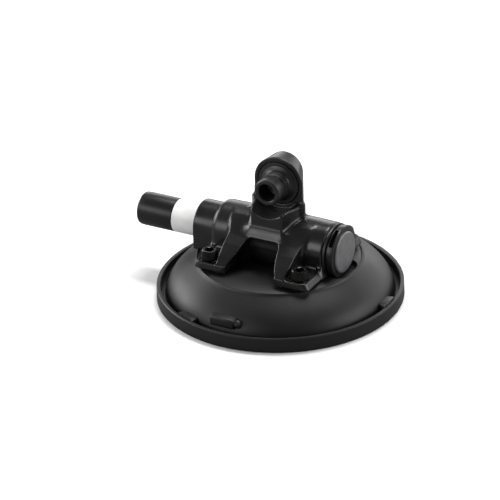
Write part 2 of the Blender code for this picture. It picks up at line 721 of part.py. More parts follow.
def make_plunger(parent, black, white, steel, rubber):
    axis = (0.0, 0.0, PUMP_Z)
    bore = ROD_RADIUS + GAP
    rod_left = -PLUNGER_END + CAP_THICKNESS
    cap_profile = [
        (0.0, -PLUNGER_END),
        (PLUNGER_RADIUS - 0.0014, -PLUNGER_END),
        (PLUNGER_RADIUS - 0.0006, -PLUNGER_END + 0.0004),
        (PLUNGER_RADIUS - 0.0002, -PLUNGER_END + 0.0014),
        (PLUNGER_RADIUS, BAND_LEFT),
        (bore, BAND_LEFT),
        (bore, rod_left - GAP),
        (0.0, rod_left - GAP),
    ]
    make_node("plunger_cap", turned(cap_profile, "X", axis), black, parent)
    band = tube(PLUNGER_RADIUS, bore, BAND_LEFT + GAP, BAND_RIGHT, "X", axis)
    make_node("indicator_band", band, white, parent)
    guide = tube(PLUNGER_RADIUS, bore, BAND_RIGHT + GAP, GUIDE_RIGHT, "X", axis)
    make_node("plunger_guide", guide, black, parent)
    piston_web = PISTON_RIGHT - PISTON_WEB
    thread_hole = SCREW_RADIUS + GAP
    rod = [
        (0.0, rod_left),
        (ROD_RADIUS, rod_left),
        (ROD_RADIUS, piston_web - GAP),
        (SHANK_RADIUS, piston_web - GAP),
        (SHANK_RADIUS, PISTON_NUT_RIGHT + 0.0008),
        (SHANK_RADIUS - 0.0006, PISTON_NUT_RIGHT + 0.0014),
        (0.0, PISTON_NUT_RIGHT + 0.0014),
    ]
    make_node("plunger_rod", turned(rod, "X", axis, segments=24), steel, parent)
    left = GUIDE_RIGHT + GAP
    piston = [
        (bore, left),
        (PLUNGER_RADIUS - 0.0001, left),
        (PLUNGER_RADIUS - 0.0001, left + 0.0022),
        (0.0080, left + 0.0022),
        (0.0080, left + 0.0056),
        (PLUNGER_RADIUS - 0.0001, left + 0.0056),
        (PLUNGER_RADIUS - 0.0001, PISTON_RIGHT),
        (thread_hole, PISTON_RIGHT),
        (thread_hole, piston_web),
        (bore, piston_web),
    ]
    make_node("piston", turned(piston, "X", axis), black, parent)
    seal = [
        (0.0083, left + 0.0025),
        (0.0094, left + 0.0025),
        (BORE_RADIUS - 0.0002, left + 0.0035),
        (BORE_RADIUS - 0.0002, left + 0.0053),
        (0.0099, left + 0.0053),
        (0.0096, left + 0.0040),
        (0.0092, left + 0.0040),
        (0.0090, left + 0.0053),
        (0.0083, left + 0.0053),
    ]
    make_node("piston_seal", turned(seal, "X", axis, 24), rubber, parent)
    outline = [(u, PUMP_Z + v) for u, v in hexagon(NUT_FLATS)]
    nut = make_node("piston_nut", prism(outline, PISTON_RIGHT + GAP, PISTON_NUT_RIGHT, "X"), steel, parent)
    hole = tube(thread_hole, 0.0, PISTON_RIGHT, 0.0, "X", axis, segments=24)
    combine(nut, "DIFFERENCE", "piston_nut_hole", hole)


def make_return_spring(parent, steel):
    spring = coil(PISTON_RIGHT + GAP, BORE_END - GAP, SPRING_RADIUS, SPRING_WIRE, SPRING_TURNS, 14, 5)
    make_node("return_spring", spring, steel, parent)


# --- Release valve ----------------------------------------------------------------------------


def make_seat(parent, brass, rubber):
    axis = (0.0, 0.0, PUMP_Z)
    outer = BORE_RADIUS - GAP
    pocket = SEAT_RIGHT - SEAT_POCKET_DEPTH
    profile = [
        (SEAT_HOLE_RADIUS, SEAT_LEFT),
        (outer, SEAT_LEFT),
        (outer, SEAT_LEFT + 0.0009),
        (outer - 0.0014, SEAT_LEFT + 0.0009),
        (outer - 0.0014, SEAT_LEFT + 0.0027),
        (outer, SEAT_LEFT + 0.0027),
        (outer, SEAT_RIGHT),
        (SEAT_POCKET_RADIUS, SEAT_RIGHT),
        (SEAT_POCKET_RADIUS, pocket),
        (SEAT_HOLE_RADIUS, pocket),
    ]
    make_node("valve_seat", turned(profile, "X", axis), brass, parent)
    middle = (outer - 0.0004, SEAT_LEFT + 0.0018)
    ring = turned(arc(0.0006, 0, 300, 5, centre=middle), "X", axis, segments=24)
    make_node("seat_o_ring", ring, rubber, parent)


def below_valve():
    """A block that trims a round piece to the flat under the valve."""
    half = FLANGE_RADIUS
    low = PUMP_Z - 2 * half
    outline = [(-half, low), (half, low), (half, VALVE_FLAT_Z), (-half, VALVE_FLAT_Z)]
    return prism(outline, BARREL_RIGHT - 0.001, BUTTON_RIGHT, "X")


def make_flange(parent, metal):
    ring = tube(FLANGE_RADIUS, BORE_RADIUS, BARREL_RIGHT + GAP, FLANGE_RIGHT, "X", (0.0, 0.0, PUMP_Z))
    flange = make_node("valve_flange", ring, metal, parent)
    combine(flange, "DIFFERENCE", "flange_flat", below_valve())


def sector(inner, outer, start, end, low, high):
    """A curved block about the pump's axis, between two angles measured from +Z towards -Y."""
    steps = max(3, round((end - start) / 6))
    outline = arc(outer, 90 + start, 90 + end, steps, centre=(0.0, PUMP_Z))
    outline += arc(inner, 90 + end, 90 + start, steps, centre=(0.0, PUMP_Z))
    return prism(outline, low, high, "X")


def make_cage(parent, plastic):
    """The cap round the release button, with two air windows in its side."""
    left = FLANGE_RIGHT + GAP
    profile = [
        (CAGE_HOLE_RADIUS, left),
        (CAGE_RADIUS, left),
        (CAGE_RADIUS, CAGE_RIGHT - 0.0005),
        (CAGE_RADIUS - 0.0005, CAGE_RIGHT),
        (CAGE_BORE_RADIUS, CAGE_RIGHT),
        (CAGE_BORE_RADIUS, CAGE_FLOOR_RIGHT),
        (CAGE_HOLE_RADIUS, CAGE_FLOOR_RIGHT),
    ]
    cage = make_node("valve_cage", turned(profile, "X", (0.0, 0.0, PUMP_Z), 48), plastic, parent)
    combine(cage, "DIFFERENCE", "cage_flat", below_valve())
    start, end = WINDOW_ANGLES
    inner = CAGE_BORE_RADIUS - 0.001
    outer = CAGE_RADIUS + 0.001
    for name, turn in (("front_window", 0), ("lower_window", 150)):
        window = sector(inner, outer, start + turn, end + turn, WINDOW_LEFT, WINDOW_RIGHT)
        combine(cage, "DIFFERENCE", name, window)


def make_button(parent, metal, steel, rubber):
    axis = (0.0, 0.0, PUMP_Z)
    bore = STEM_RADIUS + GAP
    hub_left = BUTTON_LEFT - BUTTON_HUB_LENGTH
    profile = [
        (0.0, BUTTON_RIGHT),
        (BUTTON_RADIUS - 0.0007, BUTTON_RIGHT),
        (BUTTON_RADIUS, BUTTON_RIGHT - 0.0006),
        (BUTTON_RADIUS, BUTTON_LEFT),
        (BUTTON_HUB_RADIUS, BUTTON_LEFT),
        (BUTTON_HUB_RADIUS, hub_left),
        (bore, hub_left),
        (bore, STEM_RIGHT + GAP),
        (0.0, STEM_RIGHT + GAP),
    ]
    make_node("release_button", turned(profile, "X", axis, 48), metal, parent)
    stem = [
        (0.0, STEM_LEFT),
        (STEM_HEAD_RADIUS, STEM_LEFT),
        (STEM_HEAD_RADIUS, STEM_LEFT + STEM_HEAD_HEIGHT),
        (STEM_RADIUS, STEM_LEFT + STEM_HEAD_HEIGHT),
        (STEM_RADIUS, STEM_RIGHT),
        (0.0, STEM_RIGHT),
    ]
    make_node("valve_stem", turned(stem, "X", axis, SMALL), steel, parent)
    seal_left = STEM_LEFT + STEM_HEAD_HEIGHT + GAP
    seal = tube(VALVE_SEAL_RADIUS, bore, seal_left, SEAT_LEFT - GAP, "X", axis, segments=24)
    make_node("valve_seal", seal, rubber, parent)


def make_button_spring(parent, steel):
    low = SEAT_RIGHT - SEAT_POCKET_DEPTH + GAP
    high = BUTTON_LEFT - GAP
    spring = coil(low, high, BUTTON_SPRING_RADIUS, BUTTON_SPRING_WIRE, BUTTON_SPRING_TURNS, 14, 5)
    make_node("button_spring", spring, steel, parent)


def main():
    clear_scene()
    rubber = make_material("black rubber", (0.018, 0.018, 0.019), 0.55)
    casting = make_material("satin black casting", (0.022, 0.022, 0.023), 0.42, 0.3)
    plastic = make_material("black plastic", (0.020, 0.020, 0.021), 0.45)
    white = make_material("white plastic", (0.86, 0.86, 0.85), 0.5)
    black_metal = make_material("black anodised metal", (0.030, 0.030, 0.031), 0.38, 0.8)
    black_steel = make_material("black oxide steel", (0.045, 0.042, 0.040), 0.42, 0.9)
    bright_steel = make_material("zinc plated steel", (0.60, 0.60, 0.58), 0.32, 1.0)
    spring_steel = make_material("spring steel", (0.50, 0.50, 0.50), 0.30, 1.0)
    brass = make_material("brass", (0.68, 0.50, 0.24), 0.35, 1.0)
    button_metal = make_material("grey satin metal", (0.16, 0.16, 0.165), 0.36, 0.7)
    felt = make_material("grey felt", (0.30, 0.30, 0.29), 0.95)

    cup_axis = make_empty("cup_axis", (CUP_AXIS_X, 0.0, 0.0))
    plunger_axis = make_empty("plunger_slide", (0.0, 0.0, PUMP_Z), cup_axis)
    button_axis = make_empty("button_slide", (BUTTON_RIGHT, 0.0, PUMP_Z), cup_axis)

    make_cup(cup_axis, rubber)
    make_plate(cup_axis, bright_steel)
    for corner, (side_x, side_y) in CORNERS.items():
        make_clamp_stack(corner, side_x, side_y, cup_axis, black_steel)
    make_ports(cup_axis, brass, rubber, felt)
    make_body(cup_axis, casting)
    make_spigot(cup_axis, black_metal, black_steel)
    make_mouth(cup_axis, black_steel, rubber)
    make_plunger(plunger_axis, plastic, white, bright_steel, rubber)
    make_return_spring(cup_axis, spring_steel)
    make_seat(cup_axis, brass, rubber)
    make_flange(cup_axis, black_metal)
    make_cage(cup_axis, plastic)
    make_button(button_axis, button_metal, bright_steel, rubber)
    make_button_spring(cup_axis, spring_steel)


main()
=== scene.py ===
"""Looks for the vacuum cup mount: moulded rubber, a powder coated casting, turned and plated metal.

Metres, +Z up. The cup's axis is upright, the pump lies along X with its plunger at -X, and the spigot
points along -Y. Sizes come from the frame's nodes, and the named values below add the finer shapes.
"""

import math

import bmesh
import bpy
import numpy as np
import openvdb
from mathutils import Matrix, Vector


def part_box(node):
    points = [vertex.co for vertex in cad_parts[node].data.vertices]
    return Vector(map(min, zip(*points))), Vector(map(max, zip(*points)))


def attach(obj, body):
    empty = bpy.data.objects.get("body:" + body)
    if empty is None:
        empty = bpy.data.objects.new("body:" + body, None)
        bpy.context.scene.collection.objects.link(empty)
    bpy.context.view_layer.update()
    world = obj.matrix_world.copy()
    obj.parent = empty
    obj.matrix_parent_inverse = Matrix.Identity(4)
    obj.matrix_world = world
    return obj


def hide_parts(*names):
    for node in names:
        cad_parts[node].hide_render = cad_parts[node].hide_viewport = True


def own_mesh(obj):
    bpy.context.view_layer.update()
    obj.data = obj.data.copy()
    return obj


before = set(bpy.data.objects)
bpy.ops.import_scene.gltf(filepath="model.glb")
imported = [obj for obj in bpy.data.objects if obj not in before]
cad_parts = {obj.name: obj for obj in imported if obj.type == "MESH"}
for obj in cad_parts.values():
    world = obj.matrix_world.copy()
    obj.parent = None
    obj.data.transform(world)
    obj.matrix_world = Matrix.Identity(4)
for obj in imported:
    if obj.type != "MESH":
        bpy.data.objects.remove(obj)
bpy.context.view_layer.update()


def middle(node):
    low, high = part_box(node)
    return (low + high) / 2


# --- Places, from the frame ---------------------------------------------------------------------
CUP_X = middle("vacuum_cup").x
CUP_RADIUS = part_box("vacuum_cup")[1].y
PUMP_Z = middle("plunger_cap").z
PUMP_AXIS = (CUP_X, 0.0, PUMP_Z)
SPIGOT_Z = middle("spigot").z
LUG_TOP_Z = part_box("bracket_casting")[1].z
CORNERS = ("front_left", "front_right", "back_left", "back_right")
GAP = 0.0003

# --- Cup ----------------------------------------------------------------------------------------
RIM_HEIGHT = 0.0093
RIM_WALL = 0.0028
CROWN_Z = 0.0274
CAVITY_ROOF_Z = 0.0217
TAB_ANGLES = (-113.5, 2.5, 124.5)
TAB_RADIUS = 0.0072
TAB_LOW = 0.0026
TAB_PROUD = 0.0008
TAB_SET_IN = 0.0004
TAB_WALL = 0.0008
PULL_LUG_ANGLE = -90.8
PULL_LUG_HALF = 0.0098
PULL_LUG_RADIUS = 0.0032
PULL_LUG_Z = 0.0132
PULL_LUG_REACH = 0.0675
PULL_KNOB_LENGTH = 0.0034
TUB_HALF_LENGTH = 0.0106
TUB_HALF_WIDTH = 0.0122
TUB_WALL = 0.0008

# --- Casting ------------------------------------------------------------------------------------
BARREL_RADIUS = 0.0172
BARREL_LEFT = -0.0390
BARREL_RIGHT = 0.0375
BARREL_SHOULDER = 0.0042
COLLAR_RADIUS = 0.0141
COLLAR_LEFT = -0.0530
BELLY_Z = 0.0262
ROUND_HALF = 0.0114
FOOT_BOTTOM_Z = 0.0282
FOOT_FLOOR_Z = 0.0316
FOOT_TOP_Z = 0.0328
FOOT_OUTER_X = 0.0398
FOOT_INNER_X = 0.0170
FOOT_REACH = 0.0396
FOOT_DRAFT = 0.0023
POCKET_LEFT = 0.0248
POCKET_WALL = 0.0009
POCKET_CORNER = 0.0014
BACK_INSET = 0.0035
ARCH_TOP_Z = 0.0458
ARCH_TOP_Y = 0.0203
ARCH_HALF = 0.0116
ARCH_FLARE = 0.0054
LEG_OUTER_X = 0.0246
LEG_TAPER = 0.0010
LEG_TANGENT_Y = 0.0083
LEG_CREST_Z = 0.0525
LEG_FILLET = 0.0044
FRONT_STRIP_Z = 0.0520
BACK_STRIP_Z = 0.0480
WEB_INNER_Y = 0.0050
SADDLE_REACH = 0.0164
SADDLE_HALF = 0.0105
SADDLE_TOP_Z = 0.0640
SADDLE_BOTTOM_Z = 0.0400
SADDLE_FILLET = 0.0024
TROUGH_RADIUS = 0.0170
TROUGH_FLOOR_Z = 0.0593
LUG_FRONT_RADIUS = 0.0169
LUG_BACK_RADIUS = 0.0115
LUG_THICKNESS = 0.0115
LUG_BOTTOM_Z = 0.0450
LUG_FILLET = 0.0040
SPIGOT_RECESS_RADIUS = 0.0138
SPIGOT_RECESS_DEPTH = 0.0016
SPIGOT_HOLE = 0.0053
PUMP_BORE = 0.0108
PUMP_BORE_END = 0.0240
VALVE_BORE_START = 0.0270
MOUTH_BORE = 0.0124
MOUTH_DEPTH = 0.0060
PORT_ROOF_Z = 0.0296
CASTING_VOXEL = 0.00045

# --- Fasteners and ports: radii unless named otherwise ------------------------------------------
SCREW_X = 0.0309
SCREW_Y = 0.0322
SCREW_HOLE = 0.0033
SCREW_HEAD = 0.0050
SCREW_SHANK = 0.0029
SCREW_SOCKET_FLATS = 0.0050
SCREW_PITCH = 0.0010
SCREW_THREAD_LENGTH = 0.0110
WASHER_RADIUS = 0.0055
SLEEVE_RADIUS = 0.0046
SLEEVE_HOLE = 0.0048
PLATE_RADIUS = 0.0525
INTAKE_X = 0.0200
INTAKE_HOLE = 0.0040
RELEASE_X = 0.0306
RELEASE_HOLE = 0.0026
PORT_WALL = 0.0010
FILTER_RADIUS = 0.0055
BOLT_SOCKET_FLATS = 0.0040

# --- Pump ---------------------------------------------------------------------------------------
PLUNGER_RADIUS = 0.0105
ROD_BORE = 0.0053
ROD_RADIUS = 0.0050
CLOSED_TURNS = 0.8
CLOSED_PITCH = 1.02

# --- Valve end ----------------------------------------------------------------------------------
VALVE_RADIUS = 0.0169
CAGE_RADIUS = 0.0163
CAGE_BORE = 0.0133
VALVE_FLAT_Z = 0.0242
WINDOW_ANGLES = ((13.0, 57.0), (163.0, 207.0))
WINDOW_SPAN = (0.0411, 0.0435)
CAGE_NECK = 0.0010
CAGE_HOLE = 0.0062
BUTTON_RADIUS = 0.0130

# --- Camera -------------------------------------------------------------------------------------
CAMERA_AZIMUTH = 29.06
CAMERA_ELEVATION = 27.45
CAMERA_ROLL = 1.62
CAMERA_DISTANCE = 2.46
CAMERA_LENS = 288.0
CAMERA_SENSOR = 36.0
CAMERA_AIM = (-0.0125, 0.0022, 0.0242)

# --- Light: name, place, target, size, radiance -------------------------------------------------
FLOOR_REACH = 8.0
AMBIENT = 0.12
BACKDROP = 1.0
LIGHTS = (
    ("back_bank", (0.0, 2.3, 0.75), (0.0, 0.0, 0.1), (5.0, 1.3), 2.6),
    ("top_bank", (0.0, 0.8, 2.2), (0.0, 0.0, 0.0), (1.6, 0.5), 18.0),
    ("left_bank", (-2.3, 0.1, 0.8), (0.0, 0.0, 0.05), (1.6, 1.2), 7.5),
    ("right_bank", (2.3, 0.6, 0.8), (0.0, 0.0, 0.05), (1.6, 1.2), 5.6),
    ("front_bank", (-1.5, -2.6, 1.25), (0.0, 0.0, 0.0), (2.4, 1.3), 4.4),
)


# --- Meshes -------------------------------------------------------------------------------------


def new_piece(name, verts, faces, material, sharp=35.0):
    mesh = bpy.data.meshes.new(name)
    mesh.from_pydata(verts, [], faces)
    mesh.validate()
    mesh.shade_smooth()
    if sharp:
        mesh.set_sharp_from_angle(angle=math.radians(sharp))
    mesh.materials.append(material)
    piece = bpy.data.objects.new(name, mesh)
    bpy.context.scene.collection.objects.link(piece)
    return piece


def rounded(profile, radius, steps=3):
    """The closed profile with each corner turned into an arc of at most that radius."""
    points = [np.array(p, float) for p in profile]
    made = []
    for i, corner in enumerate(points):
        before, after = points[i - 1] - corner, points[(i + 1) % len(points)] - corner
        long_before, long_after = np.linalg.norm(before), np.linalg.norm(after)
        before, after = before / long_before, after / long_after
        half = math.acos(np.clip(before @ after, -1.0, 1.0)) / 2
        on_axis = corner[0] < 1e-9
        if on_axis or half > math.radians(88.0):
            made.append(corner)
            continue
        reach = min(radius / math.tan(half), 0.42 * long_before, 0.42 * long_after)
        start, end = corner + before * reach, corner + after * reach
        for step in range(steps + 1):
            t = step / steps
            made.append((1 - t) ** 2 * start + 2 * t * (1 - t) * corner + t * t * end)
    return made


def about(axis, centre):
    """The matrix that takes +Z to the axis named, or to a direction, and the origin to centre."""
    turns = {
        "X": Matrix.Rotation(math.pi / 2, 4, "Y"),
        "Y": Matrix.Rotation(-math.pi / 2, 4, "X"),
        "Z": Matrix(),
    }
    if isinstance(axis, str):
        return Matrix.Translation(centre) @ turns[axis]
    return Matrix.Translation(centre) @ Vector(axis).to_track_quat("Z", "Y").to_matrix().to_4x4()


def bezier(start, first, second, end, steps):
    curve = []
    for t in np.linspace(0.0, 1.0, steps + 1):
        weights = ((1 - t) ** 3, 3 * t * (1 - t) ** 2, 3 * t * t * (1 - t), t**3)
        weighted = list(zip(weights, (start, first, second, end)))
        curve.append(tuple(sum(weight * point[k] for weight, point in weighted) for k in (0, 1)))
    return curve


def arc(radius, start, end, steps, centre=(0.0, 0.0)):
    """Points on an arc, from start to end in degrees."""
    angles = np.radians(np.linspace(start, end, steps + 1))
    return [(centre[0] + radius * math.cos(a), centre[1] + radius * math.sin(a)) for a in angles]


def skin(name, stations, material, along="Z", centre=(0.0, 0.0, 0.0), segments=128, sharp=35.0):
    """A closed surface of rings about an axis.

    A station is (radius, height), and either may vary round the ring.
    """
    angles = np.arange(segments) * math.tau / segments
    radii = np.array([np.broadcast_to(radius, segments) for radius, _ in stations], float)
    heights = np.array([np.broadcast_to(height, segments) for _, height in stations], float)
    points = np.stack([radii * np.cos(angles), radii * np.sin(angles), heights], axis=2)
    verts, rings = [], []
    for ring, radius in zip(points, radii):
        if radius.max() < 1e-9:
            rings.append([len(verts)] * segments)
            verts.append(ring[0])
        else:
            rings.append(list(range(len(verts), len(verts) + segments)))
            verts.extend(ring)
    faces = []
    for ring, following in zip(rings, rings[1:] + rings[:1]):
        if ring[0] == ring[-1] and following[0] == following[-1]:
            continue
        for i in range(segments):
            j = (i + 1) % segments
            corners = [ring[i], ring[j], following[j], following[i]]
            faces.append(list(dict.fromkeys(corners)))
    matrix = about(along, centre)
    piece = new_piece(name, [matrix @ Vector(v) for v in verts], faces, material, sharp)
    if np.sum(radii * (np.roll(heights, -1, 0) - np.roll(heights, 1, 0))) < 0:
        piece.data.flip_normals()
    return piece


def hexagon(flats, segments):
    """The radius of a hexagon round a ring of that many points."""
    angles = np.degrees(np.arange(segments) * math.tau / segments)
    return flats / 2 / np.cos(np.radians((angles + 30.0) % 60.0 - 30.0))


def thread(radius, pitch, low, high, segments):
    """Stations of a screw thread between two heights."""
    depth, steps = 0.00035, 6
    angles = np.arange(segments) / segments
    stations = []
    count = round((high - low) / pitch * steps)
    for i in range(count + 1):
        height = low + (high - low) * i / count
        phase = (height / pitch - angles) % 1.0
        fade = min(1.0, i / steps, (count - i) / steps)
        stations.append((radius - depth * fade * np.abs(2.0 * phase - 1.0), height))
    return stations


def prism(outline, low, high, along, centre, material):
    """A flat outline pulled straight, in the same axes as skin."""
    matrix = about(along, centre)
    count = len(outline)
    verts = [matrix @ Vector((u, v, w)) for w in (low, high) for u, v in outline]
    faces = [list(range(count))[::-1], list(range(count, 2 * count))]
    for i in range(count):
        j = (i + 1) % count
        faces.append([i, j, count + j, count + i])
    piece = new_piece("prism", verts, faces, material)
    if sum(a[0] * b[1] - b[0] * a[1] for a, b in zip(outline, outline[1:] + outline[:1])) < 0.0:
        piece.data.flip_normals()
    return piece


def merged(pieces):
    """One object from several that don't touch. The first one is kept."""
    mesh = bmesh.new()
    for piece in pieces:
        mesh.from_mesh(piece.data)
    mesh.to_mesh(pieces[0].data)
    mesh.free()
    for piece in pieces[1:]:
        bpy.data.objects.remove(piece, do_unlink=True)
    return pieces[0]


def carve(piece, operation, cutter):
    """Applies a Boolean with the cutter to the piece's own mesh, and removes the cutter."""
    modifier = piece.modifiers.new("carve", "BOOLEAN")
    modifier.operation = operation
    modifier.solver = "EXACT"
    modifier.object = cutter
    graph = bpy.context.evaluated_depsgraph_get()
    carved = bpy.data.meshes.new_from_object(piece.evaluated_get(graph))
    piece.modifiers.clear()
    piece.data = carved
    carved.shade_smooth()
    carved.set_sharp_from_angle(angle=math.radians(35.0))
    bpy.data.objects.remove(cutter, do_unlink=True)


def stand_in(piece, node, body="mount"):
    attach(piece, body)
    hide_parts(node)


def tube(outer, inner, low, high):
    return [(inner, low), (outer, low), (outer, high), (inner, high)]


def turned(name, node, profile, finish, along="X", centre=PUMP_AXIS, body="mount", edge=0.00025, segments=96):
    """A turned piece with softened edges, which stands for a node. A finish is a material and its slot, and
    the slot is not used.
    """
    material, slot = finish
    piece = skin(name, rounded(profile, edge), material, along, centre, segments)
    stand_in(piece, node, body)


# --- Smooth solids from distance fields ---------------------------------------------------------


def blend_union(a, b, size):
    """Joins two fields with a fillet of about that size."""
    mix = np.maximum(size - np.abs(a - b), 0.0)
    return np.minimum(a, b) - mix * mix / (4.0 * size)


def blend_inside(a, b, size):
    """What is inside both fields, with the edge between them rounded."""
    return -blend_union(-a, -b, size)


def blend_cut(a, b, size):
    return blend_inside(a, -b, size)


def polygon(u, v, corners):
    """The signed distance from each point (u, v) to a polygon, negative inside."""
    u, v = np.broadcast_arrays(u, v)
    nearest = np.full(u.shape, np.inf)
    inside = np.zeros(u.shape, bool)
    for (u0, v0), (u1, v1) in zip(corners, corners[1:] + corners[:1]):
        du, dv = u1 - u0, v1 - v0
        along = np.clip(((u - u0) * du + (v - v0) * dv) / (du * du + dv * dv), 0.0, 1.0)
        nearest = np.minimum(nearest, (u - u0 - along * du) ** 2 + (v - v0 - along * dv) ** 2)
        crosses = (v0 > v) != (v1 > v)
        if abs(dv) > 1e-12:
            inside ^= crosses & (u < u0 + (v - v0) / dv * du)
    return np.where(inside, -1.0, 1.0) * np.sqrt(nearest)


def mesh_of(name, field, origin, voxel, material):
    grid = openvdb.FloatGrid(3 * voxel)
    grid.copyFromArray(np.clip(field, -3 * voxel, 3 * voxel).astype(np.float32))
    grid.transform = openvdb.createLinearTransform(voxelSize=voxel)
    points, quads = grid.convertToQuads(isovalue=0.0)
    points = points + np.array(origin)
    return new_piece(name, points.tolist(), quads.tolist(), material, sharp=0)


# --- Materials ----------------------------------------------------------------------------------


class Finish:
    """A Principled material whose colour, roughness and bump come from noise in object space."""

    def __init__(self, name, colour, roughness, metallic=0.0, specular=0.5):
        self.material = bpy.data.materials.new(name)
        self.material.use_nodes = True
        self.nodes = self.material.node_tree.nodes
        self.links = self.material.node_tree.links
        self.shader = self.nodes["Principled BSDF"]
        self.shader.inputs["Metallic"].default_value = metallic
        self.shader.inputs["Specular IOR Level"].default_value = specular
        self.coordinates = self.nodes.new("ShaderNodeTexCoord")
        self.height = None
        self.colour = colour
        self.roughness = roughness

    def noise(self, scale, detail=2.0, stretch=(1.0, 1.0, 1.0)):
        mapping = self.nodes.new("ShaderNodeMapping")
        mapping.inputs["Scale"].default_value = stretch
        self.links.new(self.coordinates.outputs["Object"], mapping.inputs["Vector"])
        texture = self.nodes.new("ShaderNodeTexNoise")
        texture.inputs["Scale"].default_value = scale
        texture.inputs["Detail"].default_value = detail
        self.links.new(mapping.outputs["Vector"], texture.inputs["Vector"])
        return texture.outputs["Fac"]

    def ranged(self, value, low, high):
        node = self.nodes.new("ShaderNodeMapRange")
        node.inputs["From Min"].default_value = 0.3
        node.inputs["From Max"].default_value = 0.7
        node.inputs["To Min"].default_value = low
        node.inputs["To Max"].default_value = high
        self.links.new(value, node.inputs["Value"])
        return node.outputs["Result"]

    def mottle(self, value, spread):
        """The colour, a little darker and lighter with value."""
        ramp = self.nodes.new("ShaderNodeMix")
        ramp.data_type = "RGBA"
        ramp.inputs["A"].default_value = (*[c * (1 - spread) for c in self.colour], 1.0)
        ramp.inputs["B"].default_value = (*[min(1.0, c * (1 + spread)) for c in self.colour], 1.0)
        self.links.new(self.ranged(value, 0.0, 1.0), ramp.inputs["Factor"])
        self.links.new(ramp.outputs["Result"], self.shader.inputs["Base Color"])

    def gloss(self, value, spread):
        rough = self.ranged(value, self.roughness - spread, self.roughness + spread)
        self.links.new(rough, self.shader.inputs["Roughness"])

    def bump(self, value, depth):
        node = self.nodes.new("ShaderNodeBump")
        node.inputs["Distance"].default_value = depth
        node.inputs["Strength"].default_value = 1.0
        self.links.new(value, node.inputs["Height"])
        if self.height:
            self.links.new(self.height, node.inputs["Normal"])
        self.height = node.outputs["Normal"]
        self.links.new(self.height, self.shader.inputs["Normal"])


def moulded(name, colour, roughness, grain=2600.0, depth=0.00001, specular=0.5):
    """Rubber or plastic with a fine moulded grain and slow changes in its sheen."""
    finish = Finish(name, colour, roughness, specular=specular)
    finish.mottle(finish.noise(60.0, 3.0), 0.12)
    finish.gloss(finish.noise(28.0, 4.0), 0.05)
    finish.bump(finish.noise(grain, 2.0), depth)
    return finish.material


def coated(name, colour, roughness, specular):
    """Powder coat: an orange-peel surface with a fine speckle."""
    finish = Finish(name, colour, roughness, specular=specular)
    finish.mottle(finish.noise(1500.0, 2.0), 0.15)
    finish.gloss(finish.noise(60.0, 3.0), 0.05)
    finish.bump(finish.noise(750.0, 1.0), 0.00002)
    finish.bump(finish.noise(3200.0, 1.0), 0.00001)
    return finish.material


def machined(name, colour, roughness, along="Z", metallic=1.0):
    """Turned metal, with fine marks round the axis named."""
    stretch = {"X": (40.0, 1.0, 1.0), "Y": (1.0, 40.0, 1.0), "Z": (1.0, 1.0, 40.0)}[along]
    finish = Finish(name, colour, roughness, metallic)
    marks = finish.noise(160.0, 3.0, stretch)
    finish.mottle(finish.noise(220.0, 3.0), 0.15)
    finish.gloss(marks, 0.08)
    finish.bump(marks, 0.000008)
    return finish.material


def felted(name, colour):
    finish = Finish(name, colour, 0.9)
    fibres = finish.noise(2200.0, 6.0)
    finish.mottle(fibres, 0.35)
    finish.gloss(fibres, 0.05)
    finish.bump(fibres, 0.0002)
    return finish.material


def paper(name, colour, bounce):
    """Matt white paper, which sends only the fraction bounce of its light back up at the object."""
    finish = Finish(name, colour, 0.8, specular=0.1)
    grain = finish.noise(900.0, 3.0)
    finish.mottle(grain, 0.004)
    finish.gloss(grain, 0.05)
    finish.bump(grain, 0.00001)
    seen = finish.shader.inputs["Base Color"].links[0].from_socket
    path, dim = finish.nodes.new("ShaderNodeLightPath"), finish.nodes.new("ShaderNodeMix")
    dim.data_type = "RGBA"
    dim.inputs["A"].default_value = (*[c * bounce for c in colour], 1.0)
    finish.links.new(path.outputs["Is Camera Ray"], dim.inputs["Factor"])
    finish.links.new(seen, dim.inputs["B"])
    finish.links.new(dim.outputs["Result"], finish.shader.inputs["Base Color"])
    return finish.material


RUBBER = moulded("moulded_rubber", (0.0065, 0.0065, 0.0069), 0.46, 1900.0, 0.000012, specular=0.34)
CASTING = coated("powder_coat", (0.0105, 0.0105, 0.0111), 0.28, 0.38)
BLACK_PLASTIC = moulded("black_plastic", (0.0085, 0.0085, 0.009), 0.36, depth=0.000006, specular=0.32)
WHITE_PLASTIC = moulded("white_plastic", (0.90, 0.90, 0.89), 0.42, depth=0.000004)
BLACK_METAL = machined("black_anodised", (0.030, 0.030, 0.031), 0.36, "Y", metallic=0.55)
FLANGE_METAL = machined("black_anodised_flange", (0.026, 0.026, 0.027), 0.38, "X", metallic=0.5)
BUTTON_METAL = machined("button_satin", (0.155, 0.155, 0.16), 0.42, "X", metallic=0.35)
BLACK_STEEL = machined("black_oxide", (0.020, 0.019, 0.017), 0.24, "Z", metallic=0.85)
ZINC = machined("zinc_plate", (0.56, 0.56, 0.55), 0.34, "Z")
ROD_STEEL = machined("ground_steel", (0.58, 0.58, 0.57), 0.26, "X")
SPRING_STEEL = machined("spring_wire", (0.42, 0.42, 0.43), 0.30, "X")
BRASS = machined("turned_brass", (0.66, 0.47, 0.22), 0.32, "X")
FELT = felted("felt", (0.28, 0.28, 0.27))
FLOOR = paper("floor_white", (0.96, 0.96, 0.96), 0.30)

RUBBER_PART = (RUBBER, "rubber")
PLASTIC_PART = (BLACK_PLASTIC, "black_plastic")
WHITE_PART = (WHITE_PLASTIC, "white_plastic")
BLACK_STEEL_PART = (BLACK_STEEL, "black_steel")
ZINC_PART = (ZINC, "bright_steel")
ROD_PART = (ROD_STEEL, "bright_steel")
SPRING_PART = (SPRING_STEEL, "spring_steel")
BRASS_PART = (BRASS, "brass")


# --- Rubber cup ---------------------------------------------------------------------------------


